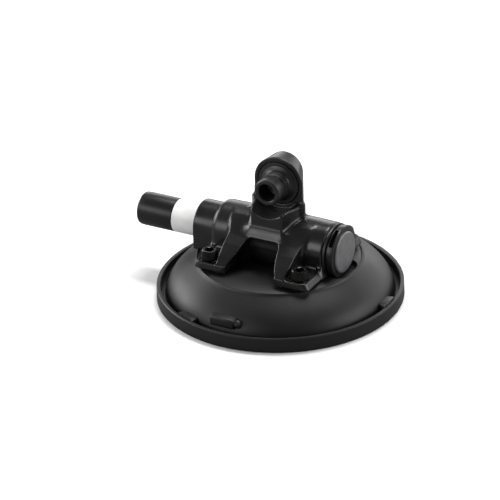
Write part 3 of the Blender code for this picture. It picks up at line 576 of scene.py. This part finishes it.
def upright(x, y, radius, low, high):
    profile = [(0.0, low), (radius, low), (radius, high), (0.0, high)]
    return skin("upright", profile, RUBBER, centre=(CUP_X + x, y, 0.0), segments=48)


def holes(prefix, radius, low, high):
    """A cutter for the two ports, and for a hole at the node with this prefix in each corner."""
    cutters = [upright(INTAKE_X, 0.0, INTAKE_HOLE, low, high)]
    cutters.append(upright(RELEASE_X, 0.0, RELEASE_HOLE, low, high))
    for corner in CORNERS:
        place = middle(prefix + corner)
        cutters.append(upright(place.x - CUP_X, place.y, radius, low, high))
    return merged(cutters)


def rim_tab(degrees):
    """A round tab that stands in from the rim, a little proud of it, and is cut off at the rim's wall."""
    segments = 96
    reach = CUP_RADIUS - RIM_WALL - TAB_SET_IN
    outward = math.radians(degrees)
    cosines = np.cos(np.arange(segments) * math.tau / segments - outward)
    limit = np.where(cosines > 0.01, TAB_WALL / np.maximum(cosines, 0.01), 1.0)
    top = RIM_HEIGHT + TAB_PROUD
    stations = [(0.0, TAB_LOW)]
    for inset, height in ((0.0, TAB_LOW), (0.0, top - 0.0012), (0.0004, top - 0.0004), (0.0012, top)):
        stations.append((np.minimum(TAB_RADIUS - inset, limit), height))
    stations.append((0.0, top))
    centre = (CUP_X + reach * math.cos(outward), reach * math.sin(outward), 0.0)
    return skin("rim_tab", stations, RUBBER, centre=centre, segments=segments)


def pull_lug():
    """A squared bar with a smaller round knob at its right-hand end."""
    segments = 64
    angles = np.arange(segments) * math.tau / segments
    square = (np.abs(np.cos(angles)) ** 5 + np.abs(np.sin(angles)) ** 5) ** -0.2
    low, high = -PULL_LUG_HALF, PULL_LUG_HALF - PULL_KNOB_LENGTH
    stations = [(0.0, low), ((PULL_LUG_RADIUS - 0.0009) * square, low)]
    stations += [((PULL_LUG_RADIUS - 0.0003) * square, low + 0.0003)]
    stations += [(PULL_LUG_RADIUS * square, low + 0.0010), (PULL_LUG_RADIUS * square, high - 0.0010)]
    stations += [((PULL_LUG_RADIUS - 0.0004) * square, high - 0.0003)]
    stations += [(0.0021, high + 0.0002), (0.0021, high + 0.0005), (0.0026, high + 0.0009)]
    stations += [(0.0027, high + 0.0018), (0.0023, high + 0.0028), (0.0013, high + 0.0033)]
    stations += [(0.0, high + PULL_KNOB_LENGTH)]
    angle = math.radians(PULL_LUG_ANGLE)
    centre = (CUP_X + PULL_LUG_REACH * math.cos(angle), PULL_LUG_REACH * math.sin(angle), PULL_LUG_Z)
    along = (-math.sin(angle), math.cos(angle), 0.0)
    return skin("pull_lug", stations, RUBBER, along, centre, segments)


def body_bed():
    """The shallow bed in the crown that the casting's belly lies in."""
    wide = BARREL_RADIUS + GAP
    narrow = COLLAR_RADIUS + GAP
    step = BARREL_LEFT - GAP
    right = BARREL_RIGHT + GAP
    outline = [(-0.07, -narrow), (step, -narrow), (step, -wide), (right, -wide)]
    outline += [(x, -y) for x, y in reversed(outline)]
    return prism(outline, BELLY_Z - 0.0002, CROWN_Z + 0.002, "Z", (CUP_X, 0.0, 0.0), RUBBER)


def valve_relief():
    """The round-cornered tub in the crown that the release valve dips into."""
    segments = 96
    angles = np.arange(segments) * math.tau / segments
    along, across = np.cos(angles), np.abs(np.sin(angles))
    wall = np.where(along < -0.01, TUB_WALL / np.maximum(-along, 0.01), 1.0)
    floor = VALVE_FLAT_Z - GAP
    stations = [(0.0, floor)]
    for grow, z in (
        (-0.0006, floor),
        (0.0, floor + 0.0005),
        (0.0006, floor + 0.0016),
        (0.0012, CROWN_Z),
        (0.0024, CROWN_Z + 0.0010),
    ):
        ends, sides = np.abs(along) / (TUB_HALF_LENGTH + grow), across / (TUB_HALF_WIDTH + grow)
        stations.append((np.minimum((ends**4 + sides**4) ** -0.25, wall), z))
    stations.append((0.0, stations[-1][1]))
    centre = (CUP_X + BARREL_RIGHT + 0.0005, 0.0, 0.0)
    return skin("valve_relief", stations, RUBBER, centre=centre, segments=segments)


def make_cup():
    rim_inner = CUP_RADIUS - RIM_WALL
    crown = [(0.0, CROWN_Z)]
    crown += bezier((0.0380, CROWN_Z), (0.0440, CROWN_Z), (0.0480, 0.0268), (0.0501, 0.0261), 8)
    ridge = [(0.0503, 0.0265), (0.0506, 0.0268), (0.0510, 0.0268), (0.0514, 0.0264), (0.0516, 0.0258)]
    dome = bezier((0.0519, 0.0255), (0.0600, 0.0200), (0.0692, 0.0150), (0.0702, 0.0038), 20)
    rim = [
        (0.0710, 0.0031),
        (rim_inner - 0.0006, 0.0030),
        (rim_inner, 0.0037),
        (rim_inner + 0.0001, RIM_HEIGHT - 0.0005),
        (rim_inner + 0.0006, RIM_HEIGHT),
        (CUP_RADIUS - 0.0007, RIM_HEIGHT),
        (CUP_RADIUS - 0.0002, RIM_HEIGHT - 0.0006),
        (CUP_RADIUS, 0.0007),
        (CUP_RADIUS - 0.0006, 0.0),
        (0.0736, 0.0),
        (0.0732, 0.0006),
        (0.0724, 0.0006),
        (0.0720, 0.0),
        (0.0692, 0.0),
        (0.0680, 0.0008),
        (0.0655, 0.0070),
    ]
    inside = bezier((0.0640, 0.0110), (0.0625, 0.0160), (0.0600, CAVITY_ROOF_Z), (0.0536, CAVITY_ROOF_Z), 10)
    profile = crown + ridge + dome + rim + inside + [(0.0, CAVITY_ROOF_Z)]
    cup = skin("cup", profile, RUBBER, centre=(CUP_X, 0.0, 0.0), segments=256, sharp=50.0)
    carve(cup, "UNION", merged([rim_tab(degrees) for degrees in TAB_ANGLES] + [pull_lug()]))
    carve(cup, "DIFFERENCE", body_bed())
    carve(cup, "DIFFERENCE", valve_relief())
    carve(cup, "DIFFERENCE", holes("spacer_", SLEEVE_HOLE, 0.018, 0.032))
    stand_in(cup, "vacuum_cup")


# --- Clamping stack -----------------------------------------------------------------------------


def knurled(radius, segments):
    """The radius round a straight-knurled head: one valley in three points."""
    return radius - 0.00016 * (np.arange(segments) % 3 == 0)


def socket_screw(name, node, place, head_low, head_high, tip):
    segments = 180
    thread_low, thread_high = tip + 0.0006, tip + SCREW_THREAD_LENGTH
    flats = hexagon(SCREW_SOCKET_FLATS, segments)
    stations = [(0.0, tip), (SCREW_SHANK - 0.0006, tip), (SCREW_SHANK, thread_low)]
    stations += thread(SCREW_SHANK, SCREW_PITCH, thread_low, thread_high, segments)
    stations += [
        (SCREW_SHANK, head_low),
        (SCREW_HEAD - 0.0003, head_low),
        (SCREW_HEAD, head_low + 0.0003),
        (SCREW_HEAD, head_low + 0.0006),
        (knurled(SCREW_HEAD, segments), head_low + 0.0008),
        (knurled(SCREW_HEAD, segments), head_high - 0.0010),
        (SCREW_HEAD - 0.0001, head_high - 0.0008),
        (SCREW_HEAD - 0.0002, head_high - 0.0004),
        (SCREW_HEAD - 0.0007, head_high),
        (0.0032, head_high),
        (np.minimum(flats, 0.0029), head_high - 0.0003),
        (flats, head_high - 0.0005),
        (flats, head_high - 0.0032),
        (0.0, head_high - 0.0042),
    ]
    screw = skin(name, stations, BLACK_STEEL, "Z", (place.x, place.y, 0.0), segments, sharp=30.0)
    stand_in(screw, node)


def hex_nut(name, node, along, centre, low, high, finish, body="mount"):
    segments = 96
    flats, bore = 0.0100, 0.0031
    sides = hexagon(flats, segments)
    stations = [(bore + 0.0004, low), (flats / 2 - 0.0003, low)]
    for fall, height in ((0.0, low), (0.0006, low + 0.0003), (0.0012, low + 0.0007)):
        stations.append((np.minimum(sides, flats / 2 - 0.0002 + fall), height))
    stations += [(radius, low + high - height) for radius, height in reversed(stations)]
    stations += [(bore, high - 0.0005), (bore, low + 0.0005)]
    material, slot = finish
    nut = skin(name, stations, material, along, centre, segments, sharp=25.0)
    stand_in(nut, node, body)


def make_clamps():
    for corner in CORNERS:
        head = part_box("screw_" + corner)
        place = middle("washer_" + corner)
        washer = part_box("washer_" + corner)
        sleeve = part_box("spacer_" + corner)
        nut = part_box("nut_" + corner)
        axis = (place.x, place.y, 0.0)
        under_head = washer[1].z + GAP
        socket_screw("cap_screw_" + corner, "screw_" + corner, place, under_head, head[1].z, head[0].z)
        flat = tube(WASHER_RADIUS, SCREW_HOLE, washer[0].z, washer[1].z)
        turned("flat_washer_" + corner, "washer_" + corner, flat, BLACK_STEEL_PART, "Z", axis)
        collar = tube(SLEEVE_RADIUS, SCREW_HOLE, sleeve[0].z, sleeve[1].z)
        turned("sleeve_" + corner, "spacer_" + corner, collar, BLACK_STEEL_PART, "Z", axis)
        hex_nut("hex_nut_" + corner, "nut_" + corner, "Z", axis, nut[0].z, nut[1].z, BLACK_STEEL_PART)


def make_plate():
    low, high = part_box("backing_plate")
    profile = rounded([(0.0, low.z), (PLATE_RADIUS, low.z), (PLATE_RADIUS, high.z), (0.0, high.z)], 0.0006)
    disc = skin("plate_disc", profile, ZINC, "Z", (CUP_X, 0.0, 0.0), 192)
    carve(disc, "DIFFERENCE", holes("washer_", SCREW_HOLE, 0.015, 0.024))
    stand_in(disc, "backing_plate")


def make_ports():
    intake = (CUP_X + INTAKE_X, 0.0, 0.0)
    release = (CUP_X + RELEASE_X, 0.0, 0.0)
    for name, node, axis, radius in (
        ("intake_tube", "intake_port", intake, INTAKE_HOLE - GAP),
        ("release_tube", "release_port", release, RELEASE_HOLE - GAP),
    ):
        low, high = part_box(node)
        turned(name, node, tube(radius, radius - PORT_WALL, low.z, high.z), BRASS_PART, "Z", axis)
    low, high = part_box("intake_check_flap")
    radius = INTAKE_HOLE - GAP
    disc = [(0.0, low.z), (radius, low.z), (radius, high.z), (0.0, high.z)]
    turned("check_flap", "intake_check_flap", disc, RUBBER_PART, "Z", intake)
    low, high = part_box("intake_filter")
    disc = [(0.0, low.z), (FILTER_RADIUS, low.z), (FILTER_RADIUS, high.z), (0.0, high.z)]
    turned("felt_filter", "intake_filter", disc, (FELT, "felt"), "Z", intake, edge=0.0008)


# --- Casting ------------------------------------------------------------------------------------


def barrel_field(x, y, z, radius, low, high, shoulder):
    """A barrel that is round on top and straight-sided down to the belly, but round between the legs."""
    circle = np.hypot(y, z - PUMP_Z) - radius
    sides = np.where(np.abs(x) < ROUND_HALF, circle, np.abs(y) - radius)
    section = np.where(z > PUMP_Z, circle, np.maximum(sides, BELLY_Z - z))
    body = blend_inside(section, low - x, shoulder)
    return blend_inside(body, x - high, 0.0012)


def web_field(across, out, z, strip_z):
    """Two legs and the strip over the arch. Beside the saddle the legs run tangent to the barrel."""
    leg = [
        (FOOT_REACH - 0.0002, FOOT_BOTTOM_Z + 0.0002),
        (FOOT_REACH - 0.0002, FOOT_TOP_Z),
        (0.0366, 0.0356),
        (0.0339, 0.0378),
        (0.0270, 0.0425),
        (ARCH_TOP_Y, ARCH_TOP_Z),
    ]
    low = (WEB_INNER_Y, FOOT_BOTTOM_Z + 0.0002)
    strip = polygon(out, z, leg + [(SADDLE_REACH, strip_z), (WEB_INNER_Y, strip_z), low])
    tangent = polygon(out, z, leg + [(LEG_TANGENT_Y, LEG_CREST_Z), (WEB_INNER_Y, LEG_CREST_Z), low])
    beside = np.clip((across - 0.0090) / 0.0100, 0.0, 1.0)
    beside = beside * beside * (3.0 - 2.0 * beside)
    drop = np.clip((ARCH_TOP_Z - z) / (ARCH_TOP_Z - FOOT_TOP_Z), -0.6, 1.3)
    outer = LEG_OUTER_X - LEG_TAPER * drop
    inner = ARCH_HALF + ARCH_FLARE * np.maximum(drop, 0.0) ** 1.6
    web = blend_inside(strip + (tangent - strip) * beside, across - outer, 0.0012)
    opening = blend_inside(across - inner, z - ARCH_TOP_Z, 0.0045)
    return blend_cut(web, np.maximum(opening, -out), 0.0010)


def foot_field(across, out, z):
    """A foot with drafted sides and a cut outer corner."""
    lean = (FOOT_TOP_Z - z) * FOOT_DRAFT / (FOOT_TOP_Z - FOOT_BOTTOM_Z)
    side = across - (FOOT_OUTER_X - FOOT_DRAFT) - lean
    front = out - (FOOT_REACH - 0.0003)
    beside, before = across - (FOOT_OUTER_X - 0.0030) - lean, out - FOOT_REACH + 0.0018
    corner = (beside * 0.0036 + before * 0.0046) / 0.00584
    foot = blend_inside(side, front, 0.0010)
    foot = blend_inside(foot, corner, 0.0016)
    foot = blend_inside(foot, np.maximum(z - FOOT_TOP_Z, FOOT_BOTTOM_Z - z), 0.0007)
    return np.maximum(np.maximum(foot, FOOT_INNER_X - across), 0.0100 - out)


def pocket_field(across, out, z):
    """The shallow pocket in a foot that the screw stands in."""
    far = FOOT_REACH - 0.0017
    right = FOOT_OUTER_X - FOOT_DRAFT - POCKET_WALL
    near = BARREL_RADIUS - 0.004
    inset = POCKET_CORNER
    floor = [
        (POCKET_LEFT + inset, near),
        (right - inset, near),
        (right - inset, far - 0.0030 - inset / 2),
        (right - 0.0034 - inset / 2, far - inset),
        (POCKET_LEFT + inset, far - inset),
    ]
    return blend_inside(polygon(across, out, floor) - inset, FOOT_FLOOR_Z - z, 0.0006)


def side_field(x, out, z, strip_z):
    """One side's two legs, the strip over the arch between them and the two feet."""
    across = np.abs(x)
    side = blend_union(web_field(across, out, z, strip_z), foot_field(across, out, z), 0.0012)
    return blend_cut(side, pocket_field(across, out, z), 0.0004)


def saddle_field(x, y, z):
    reach = np.clip(-y / SADDLE_REACH, 0.0, 1.2)
    half = LUG_FRONT_RADIUS + (SADDLE_HALF - LUG_FRONT_RADIUS) * reach
    saddle = blend_inside((np.abs(x) - half) * 0.93, -SADDLE_REACH - y, 0.0012)
    saddle = blend_inside(saddle, z - SADDLE_TOP_Z, 0.0010)
    return np.maximum(np.maximum(saddle, SADDLE_BOTTOM_Z - z), y - 0.0020)


def lug_field(x, y, z):
    depth = np.clip(y / LUG_THICKNESS, -0.2, 1.2)
    radius = LUG_FRONT_RADIUS + (LUG_BACK_RADIUS - LUG_FRONT_RADIUS) * depth
    above = z - (LUG_TOP_Z - radius)
    lug = np.where(above > 0.0, np.hypot(x, above), np.abs(x)) - radius
    lug = blend_inside(lug * 0.92, np.maximum(-y, y - LUG_THICKNESS), 0.0009)
    return np.maximum(lug, LUG_BOTTOM_Z - z)


def casting_field(x, y, z):
    body = barrel_field(x, y, z, BARREL_RADIUS, BARREL_LEFT, BARREL_RIGHT, BARREL_SHOULDER)
    collar = barrel_field(x, y, z, COLLAR_RADIUS, COLLAR_LEFT, BARREL_LEFT + 0.008, 0.0009)
    body = blend_union(body, collar, 0.0006)
    for out, strip_z in ((-y, FRONT_STRIP_Z), (y + BACK_INSET, BACK_STRIP_Z)):
        body = blend_union(body, side_field(x, out, z, strip_z), LEG_FILLET)
    body = blend_union(body, saddle_field(x, y, z), SADDLE_FILLET)
    body = blend_union(body, lug_field(x, y, z), LUG_FILLET)
    trough = np.maximum(np.hypot(x, z - TROUGH_FLOOR_Z - TROUGH_RADIUS) - TROUGH_RADIUS, y - 0.0001)
    body = blend_cut(body, trough, 0.0008)
    from_spigot = np.hypot(x, z - SPIGOT_Z)
    from_pump = np.hypot(y, z - PUMP_Z)
    cuts = [
        np.maximum(from_spigot - SPIGOT_RECESS_RADIUS, y - SPIGOT_RECESS_DEPTH),
        from_spigot - SPIGOT_HOLE,
        np.maximum(from_pump - PUMP_BORE, x - PUMP_BORE_END),
        np.maximum(from_pump - MOUTH_BORE, x - COLLAR_LEFT - MOUTH_DEPTH),
        np.maximum(from_pump - PUMP_BORE, VALVE_BORE_START - x),
    ]
    for port_x, radius in ((INTAKE_X, INTAKE_HOLE), (RELEASE_X, RELEASE_HOLE)):
        cuts.append(np.maximum(np.hypot(x - port_x, y) - radius, z - PORT_ROOF_Z))
    for screw_y in (-SCREW_Y, SCREW_Y - BACK_INSET):
        screw = np.hypot(np.abs(x) - SCREW_X, y - screw_y) - SCREW_HOLE
        cuts.append(np.maximum(screw, z - FOOT_TOP_Z))
    for cut in cuts:
        body = np.maximum(body, -cut)
    return body


def make_casting():
    voxel = CASTING_VOXEL
    low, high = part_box("bracket_casting")
    spans = []
    for axis in range(3):
        spans.append(np.arange(low[axis] - 4 * voxel, high[axis] + 4 * voxel, voxel))
    x, y, z = np.meshgrid(*spans, indexing="ij", sparse=True)
    field = casting_field(x - CUP_X, y, z)
    casting = mesh_of("casting", field, [span[0] for span in spans], voxel, CASTING)
    stand_in(casting, "bracket_casting")


# --- Spigot -------------------------------------------------------------------------------------


def make_spigot():
    axis = (CUP_X, 0.0, SPIGOT_Z)
    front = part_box("spigot")[0].y
    outer = 0.0084
    profile = [
        (0.0, front + 0.0118),
        (0.0020, front + 0.0122),
        (0.0054, front + 0.0112),
        (0.0055, front + 0.0110),
        (0.0055, front + 0.0006),
        (0.0061, front),
        (outer - 0.0007, front),
        (outer, front + 0.0007),
        (outer, -0.0070),
        (outer - 0.0009, -0.0066),
        (outer - 0.0009, -0.0056),
        (outer + 0.0003, -0.0052),
        (outer + 0.0003, -0.0043),
        (outer - 0.0003, -0.0041),
        (outer - 0.0003, -0.0037),
        (outer + 0.0004, -0.0035),
        (outer + 0.0004, -0.0022),
        (outer + 0.0010, -0.0012),
        (outer + 0.0022, -0.0004),
        (outer + 0.0030, 0.0001),
        (0.0135, 0.0001),
        (0.0135, 0.0013),
        (0.0050, 0.0013),
        (0.0050, 0.0112),
        (0.0033, 0.0112),
        (0.0033, 0.0035),
        (0.0, 0.0035),
    ]
    finish = (BLACK_METAL, "black_metal")
    turned("spigot_turned", "spigot", profile, finish, "Y", axis, edge=0.00022, segments=160)
    low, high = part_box("spigot_washer")
    washer = tube(0.0070, SCREW_HOLE, low.y, high.y)
    turned("spigot_flat_washer", "spigot_washer", washer, BLACK_STEEL_PART, "Y", axis)
    low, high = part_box("spigot_bolt")
    segments = 96
    flats = hexagon(BOLT_SOCKET_FLATS, segments)
    head = high.y - 0.0033
    stations = [(0.0, low.y), (SCREW_SHANK - 0.0005, low.y), (SCREW_SHANK, low.y + 0.0005)]
    stations += [(SCREW_SHANK, head), (0.0053, head)]
    stations += arc(0.0016, 0.0, 90.0, 6, (0.0037, high.y - 0.0016))
    stations += [(0.0027, high.y), (flats, high.y - 0.0003), (flats, high.y - 0.0017)]
    stations += [(0.0, high.y - 0.0024)]
    bolt = skin("button_head_bolt", stations, BLACK_STEEL, "Y", axis, segments, sharp=30.0)
    stand_in(bolt, "spigot_bolt")


# --- Pump ---------------------------------------------------------------------------------------


def span(node):
    """Where a node starts and ends along the pump, from the cup's axis."""
    low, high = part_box(node)
    return low.x - CUP_X, high.x - CUP_X


def make_plunger():
    left, right = span("plunger_cap")
    cap = [(0.0, left + 0.0004), (0.0072, left + 0.0004), (0.0076, left), (0.0092, left)]
    cap += [(0.0099, left + 0.0004), (0.0103, left + 0.0012), (PLUNGER_RADIUS, left + 0.0040)]
    cap += [(PLUNGER_RADIUS, right), (ROD_BORE, right), (ROD_BORE, left + 0.0067), (0.0, left + 0.0067)]
    turned("cap_moulding", "plunger_cap", cap, PLASTIC_PART, body="plunger", segments=160)
    left, right = span("indicator_band")
    band = tube(PLUNGER_RADIUS, ROD_BORE, left, right)
    turned("band_moulding", "indicator_band", band, WHITE_PART, body="plunger", segments=160)
    left, right = span("plunger_guide")
    guide = tube(PLUNGER_RADIUS, ROD_BORE, left, right)
    turned("guide_moulding", "plunger_guide", guide, PLASTIC_PART, body="plunger", segments=128)
    left, right = span("plunger_rod")
    neck = span("piston")[1] - 0.0018
    rod = [(0.0, left), (ROD_RADIUS, left), (ROD_RADIUS, neck), (SCREW_SHANK, neck)]
    rod += [(SCREW_SHANK, right - 0.0006), (SCREW_SHANK - 0.0006, right), (0.0, right)]
    turned("ground_rod", "plunger_rod", rod, ROD_PART, body="plunger")
    left, right = span("piston")
    piston = [(ROD_BORE, left), (0.0104, left), (0.0104, left + 0.0022), (0.0080, left + 0.0022)]
    piston += [(0.0080, left + 0.0056), (0.0104, left + 0.0056), (0.0104, right), (SCREW_HOLE, right)]
    piston += [(SCREW_HOLE, right - 0.0015), (ROD_BORE, right - 0.0015)]
    turned("piston_turned", "piston", piston, PLASTIC_PART, body="plunger")
    seal = [(0.0083, left + 0.0025), (0.0094, left + 0.0025), (0.0106, left + 0.0035)]
    seal += [(0.0106, left + 0.0053), (0.0099, left + 0.0053), (0.0096, left + 0.0040)]
    seal += [(0.0092, left + 0.0040), (0.0090, left + 0.0053), (0.0083, left + 0.0053)]
    turned("lip_seal", "piston_seal", seal, RUBBER_PART, body="plunger")
    left, right = span("piston_nut")
    hex_nut("rod_nut", "piston_nut", "X", PUMP_AXIS, left, right, ZINC_PART, "plunger")


def make_mouth():
    left, right = span("gland_ring")
    gland = [(0.0108, left + 0.0006), (0.0113, left), (0.0121, left), (0.0121, right), (0.0108, right)]
    turned("gland_turned", "gland_ring", gland, BLACK_STEEL_PART, segments=128)
    left, right = span("wiper_ring")
    wiper = [(0.0108, left), (0.0121, left), (0.0121, right), (0.0111, right), (0.0108, right - 0.0010)]
    turned("wiper_moulding", "wiper_ring", wiper, RUBBER_PART, segments=128)


def coil(name, node, radius, wire, turns, finish):
    """A compression spring along the pump, with its end turns closed up."""
    low, high = span(node)
    steps, sides = 36, 12
    rings = turns * steps + 1
    pitch = wire * CLOSED_PITCH
    first, last = low + wire / 2, high - wire / 2
    open_length = last - first - 2 * CLOSED_TURNS * pitch
    verts, faces = [], []
    for i in range(rings):
        at = i / steps
        if at <= turns - CLOSED_TURNS:
            share = min(max((at - CLOSED_TURNS) / (turns - 2 * CLOSED_TURNS), 0.0), 1.0)
            x = first + min(at, CLOSED_TURNS) * pitch + open_length * share
        else:
            x = last - (turns - at) * pitch
        out = Vector((0.0, math.cos(math.tau * at), math.sin(math.tau * at)))
        centre = Vector((CUP_X + x, 0.0, PUMP_Z)) + out * radius
        for u, v in arc(wire / 2, 0.0, 360.0 - 360.0 / sides, sides - 1):
            verts.append(centre + Vector((u, 0.0, 0.0)) + out * v)
    for i in range(rings - 1):
        for j in range(sides):
            k = (j + 1) % sides
            faces.append([i * sides + j, i * sides + k, (i + 1) * sides + k, (i + 1) * sides + j])
    faces.append(list(reversed(range(sides))))
    faces.append([(rings - 1) * sides + j for j in range(sides)])
    material, slot = finish
    spring = new_piece(name, verts, faces, material, sharp=60.0)
    stand_in(spring, node)
    return spring


def make_springs():
    spring = coil("plunger_coil", "return_spring", 0.0072, 0.0013, 9, SPRING_PART)
    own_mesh(spring)
    spring = coil("button_coil", "button_spring", 0.0052, 0.0008, 4, SPRING_PART)
    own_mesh(spring)


# --- Release valve ------------------------------------------------------------------------------


def flat_below(radius, segments, inset=0.0):
    """The radius round a disc that is cut off flat underneath. Angle 0 is straight down."""
    cosines = np.cos(np.arange(segments) * math.tau / segments)
    drop = PUMP_Z - VALVE_FLAT_Z - inset
    return np.minimum(radius - inset, np.where(cosines > 0.1, drop / np.maximum(cosines, 0.1), 1.0))


def flat_ring(name, inner, outer, material, low, high, edge, neck=0.0, recess=()):
    """A chamfered ring cut off flat underneath, with a neck on its left or a recess on its right."""
    segments = 192
    # Without a neck, the second and third rings coincide.
    step, shoulder = (neck - 0.0001, neck + 0.0001) if neck else (edge, edge)
    stations = [
        (flat_below(outer, segments, neck or edge), low),
        (flat_below(outer, segments, neck), low + step),
        (flat_below(outer, segments), low + shoulder),
        (flat_below(outer, segments), high - edge),
        (flat_below(outer, segments, 0.3 * edge), high - 0.3 * edge),
        (flat_below(outer, segments, edge), high),
    ]
    if recess:
        radius, floor = recess
        stations += [(radius + 0.0002, high), (radius, high - 0.0002), (radius, floor), (inner, floor)]
    else:
        stations += [(inner + 0.0002, high), (inner, high - 0.0002)]
    stations.append((inner, low))
    return skin(name, stations, material, "X", PUMP_AXIS, segments)


def window(start, end):
    """A curved block through the cage's wall, between two angles from straight up towards the front."""
    low, high = WINDOW_SPAN
    inner, outer = CAGE_BORE - 0.001, CAGE_RADIUS + 0.001
    outline = arc(outer, end - 180.0, start - 180.0, 24) + arc(inner, start - 180.0, end - 180.0, 24)
    return prism(outline, low, high, "X", PUMP_AXIS, BLACK_PLASTIC)


def make_valve():
    left, right = span("valve_flange")
    flange = flat_ring("flange_turned", PUMP_BORE, VALVE_RADIUS, FLANGE_METAL, left, right, 0.0003)
    stand_in(flange, "valve_flange")
    left, right = span("valve_cage")
    recess = (CAGE_BORE, left + 0.0012)
    cage = flat_ring(
        "cage_moulding", CAGE_HOLE, CAGE_RADIUS, BLACK_PLASTIC, left, right, 0.0005, CAGE_NECK, recess
    )
    for start, end in WINDOW_ANGLES:
        carve(cage, "DIFFERENCE", window(start, end))
    stand_in(cage, "valve_cage")
    left, face = span("release_button")
    stem_left, stem_right = span("valve_stem")
    button = [
        (0.0, face - 0.00005),
        (0.0118, face),
        (0.0124, face - 0.0001),
        (BUTTON_RADIUS, face - 0.0007),
        (BUTTON_RADIUS, face - 0.0025),
        (0.0040, face - 0.0025),
        (0.0040, left),
        (0.0022, left),
        (0.0022, stem_right + GAP),
        (0.0, stem_right + GAP),
    ]
    finish = (BUTTON_METAL, "button_metal")
    turned("button_turned", "release_button", button, finish, body="release", edge=0.00015, segments=160)
    stem = [(0.0, stem_left), (0.0050, stem_left), (0.0050, stem_left + 0.0011)]
    stem += [(0.0019, stem_left + 0.0011), (0.0019, stem_right), (0.0, stem_right)]
    turned("stem_turned", "valve_stem", stem, ROD_PART, body="release")
    left, right = span("valve_seal")
    turned("valve_washer", "valve_seal", tube(0.0062, 0.0022, left, right), RUBBER_PART, body="release")
    left, right = span("valve_seat")
    seat = [(0.0042, left), (0.0105, left), (0.0105, left + 0.0009), (0.0091, left + 0.0009)]
    seat += [(0.0091, left + 0.0027), (0.0105, left + 0.0027), (0.0105, right), (0.0062, right)]
    seat += [(0.0062, right - 0.0018), (0.0042, right - 0.0018)]
    turned("seat_turned", "valve_seat", seat, BRASS_PART)
    section = arc(0.00065, 0.0, 330.0, 11, (0.0101, left + 0.0018))
    o_ring = skin("o_ring", section, RUBBER, "X", PUMP_AXIS, 128)
    stand_in(o_ring, "seat_o_ring")


# --- Camera, light and floor --------------------------------------------------------------------


def make_camera():
    azimuth, elevation, roll = map(math.radians, (CAMERA_AZIMUTH, CAMERA_ELEVATION, CAMERA_ROLL))
    level = Vector((math.cos(azimuth), math.sin(azimuth), 0.0))
    forward = Vector((-math.sin(azimuth), math.cos(azimuth), 0.0))
    back = forward * -math.cos(elevation) + Vector((0.0, 0.0, math.sin(elevation)))
    rise = back.cross(level)
    right = level * math.cos(roll) - rise * math.sin(roll)
    up = level * math.sin(roll) + rise * math.cos(roll)
    place = Vector(CAMERA_AIM) + back * CAMERA_DISTANCE
    data = bpy.data.cameras.new("camera")
    data.lens = CAMERA_LENS
    data.sensor_width = CAMERA_SENSOR
    data.clip_end = 20.0
    camera = bpy.data.objects.new("camera", data)
    turn = Matrix((right, up, back)).transposed().to_4x4()
    camera.matrix_world = Matrix.Translation(place) @ turn
    bpy.context.scene.collection.objects.link(camera)
    bpy.context.scene.camera = camera


def make_light(name, place, target, size, radiance):
    data = bpy.data.lights.new(name, "AREA")
    data.shape = "RECTANGLE"
    data.size, data.size_y = size
    data.energy = radiance * math.pi * size[0] * size[1]
    light = bpy.data.objects.new(name, data)
    light.location = place
    light.rotation_euler = (Vector(target) - Vector(place)).to_track_quat("-Z", "Y").to_euler()
    bpy.context.scene.collection.objects.link(light)


def make_world():
    """A dim surround for the light it gives, which looks white behind the floor."""
    world = bpy.data.worlds.new("studio")
    world.use_nodes = True
    nodes, links = world.node_tree.nodes, world.node_tree.links
    surround = nodes["Background"]
    surround.inputs["Color"].default_value = (1.0, 1.0, 1.0, 1.0)
    surround.inputs["Strength"].default_value = AMBIENT
    backdrop = nodes.new("ShaderNodeBackground")
    backdrop.inputs["Color"].default_value = (1.0, 1.0, 1.0, 1.0)
    backdrop.inputs["Strength"].default_value = BACKDROP
    path, mix = nodes.new("ShaderNodeLightPath"), nodes.new("ShaderNodeMixShader")
    links.new(path.outputs["Is Camera Ray"], mix.inputs[0])
    links.new(surround.outputs["Background"], mix.inputs[1])
    links.new(backdrop.outputs["Background"], mix.inputs[2])
    links.new(mix.outputs["Shader"], nodes["World Output"].inputs["Surface"])
    bpy.context.scene.world = world


def make_studio():
    reach = FLOOR_REACH
    corners = [(-reach, -reach, 0.0), (reach, -reach, 0.0), (reach, reach, 0.0), (-reach, reach, 0.0)]
    floor = new_piece("floor", corners, [(0, 1, 2, 3)], FLOOR, sharp=0)
    bpy.context.scene.view_settings.view_transform = "Standard"
    make_world()
    for light in LIGHTS:
        make_light(*light)


make_cup()
make_clamps()
make_plate()
make_ports()
make_casting()
make_spigot()
make_plunger()
make_mouth()
make_springs()
make_valve()
make_camera()
make_studio()
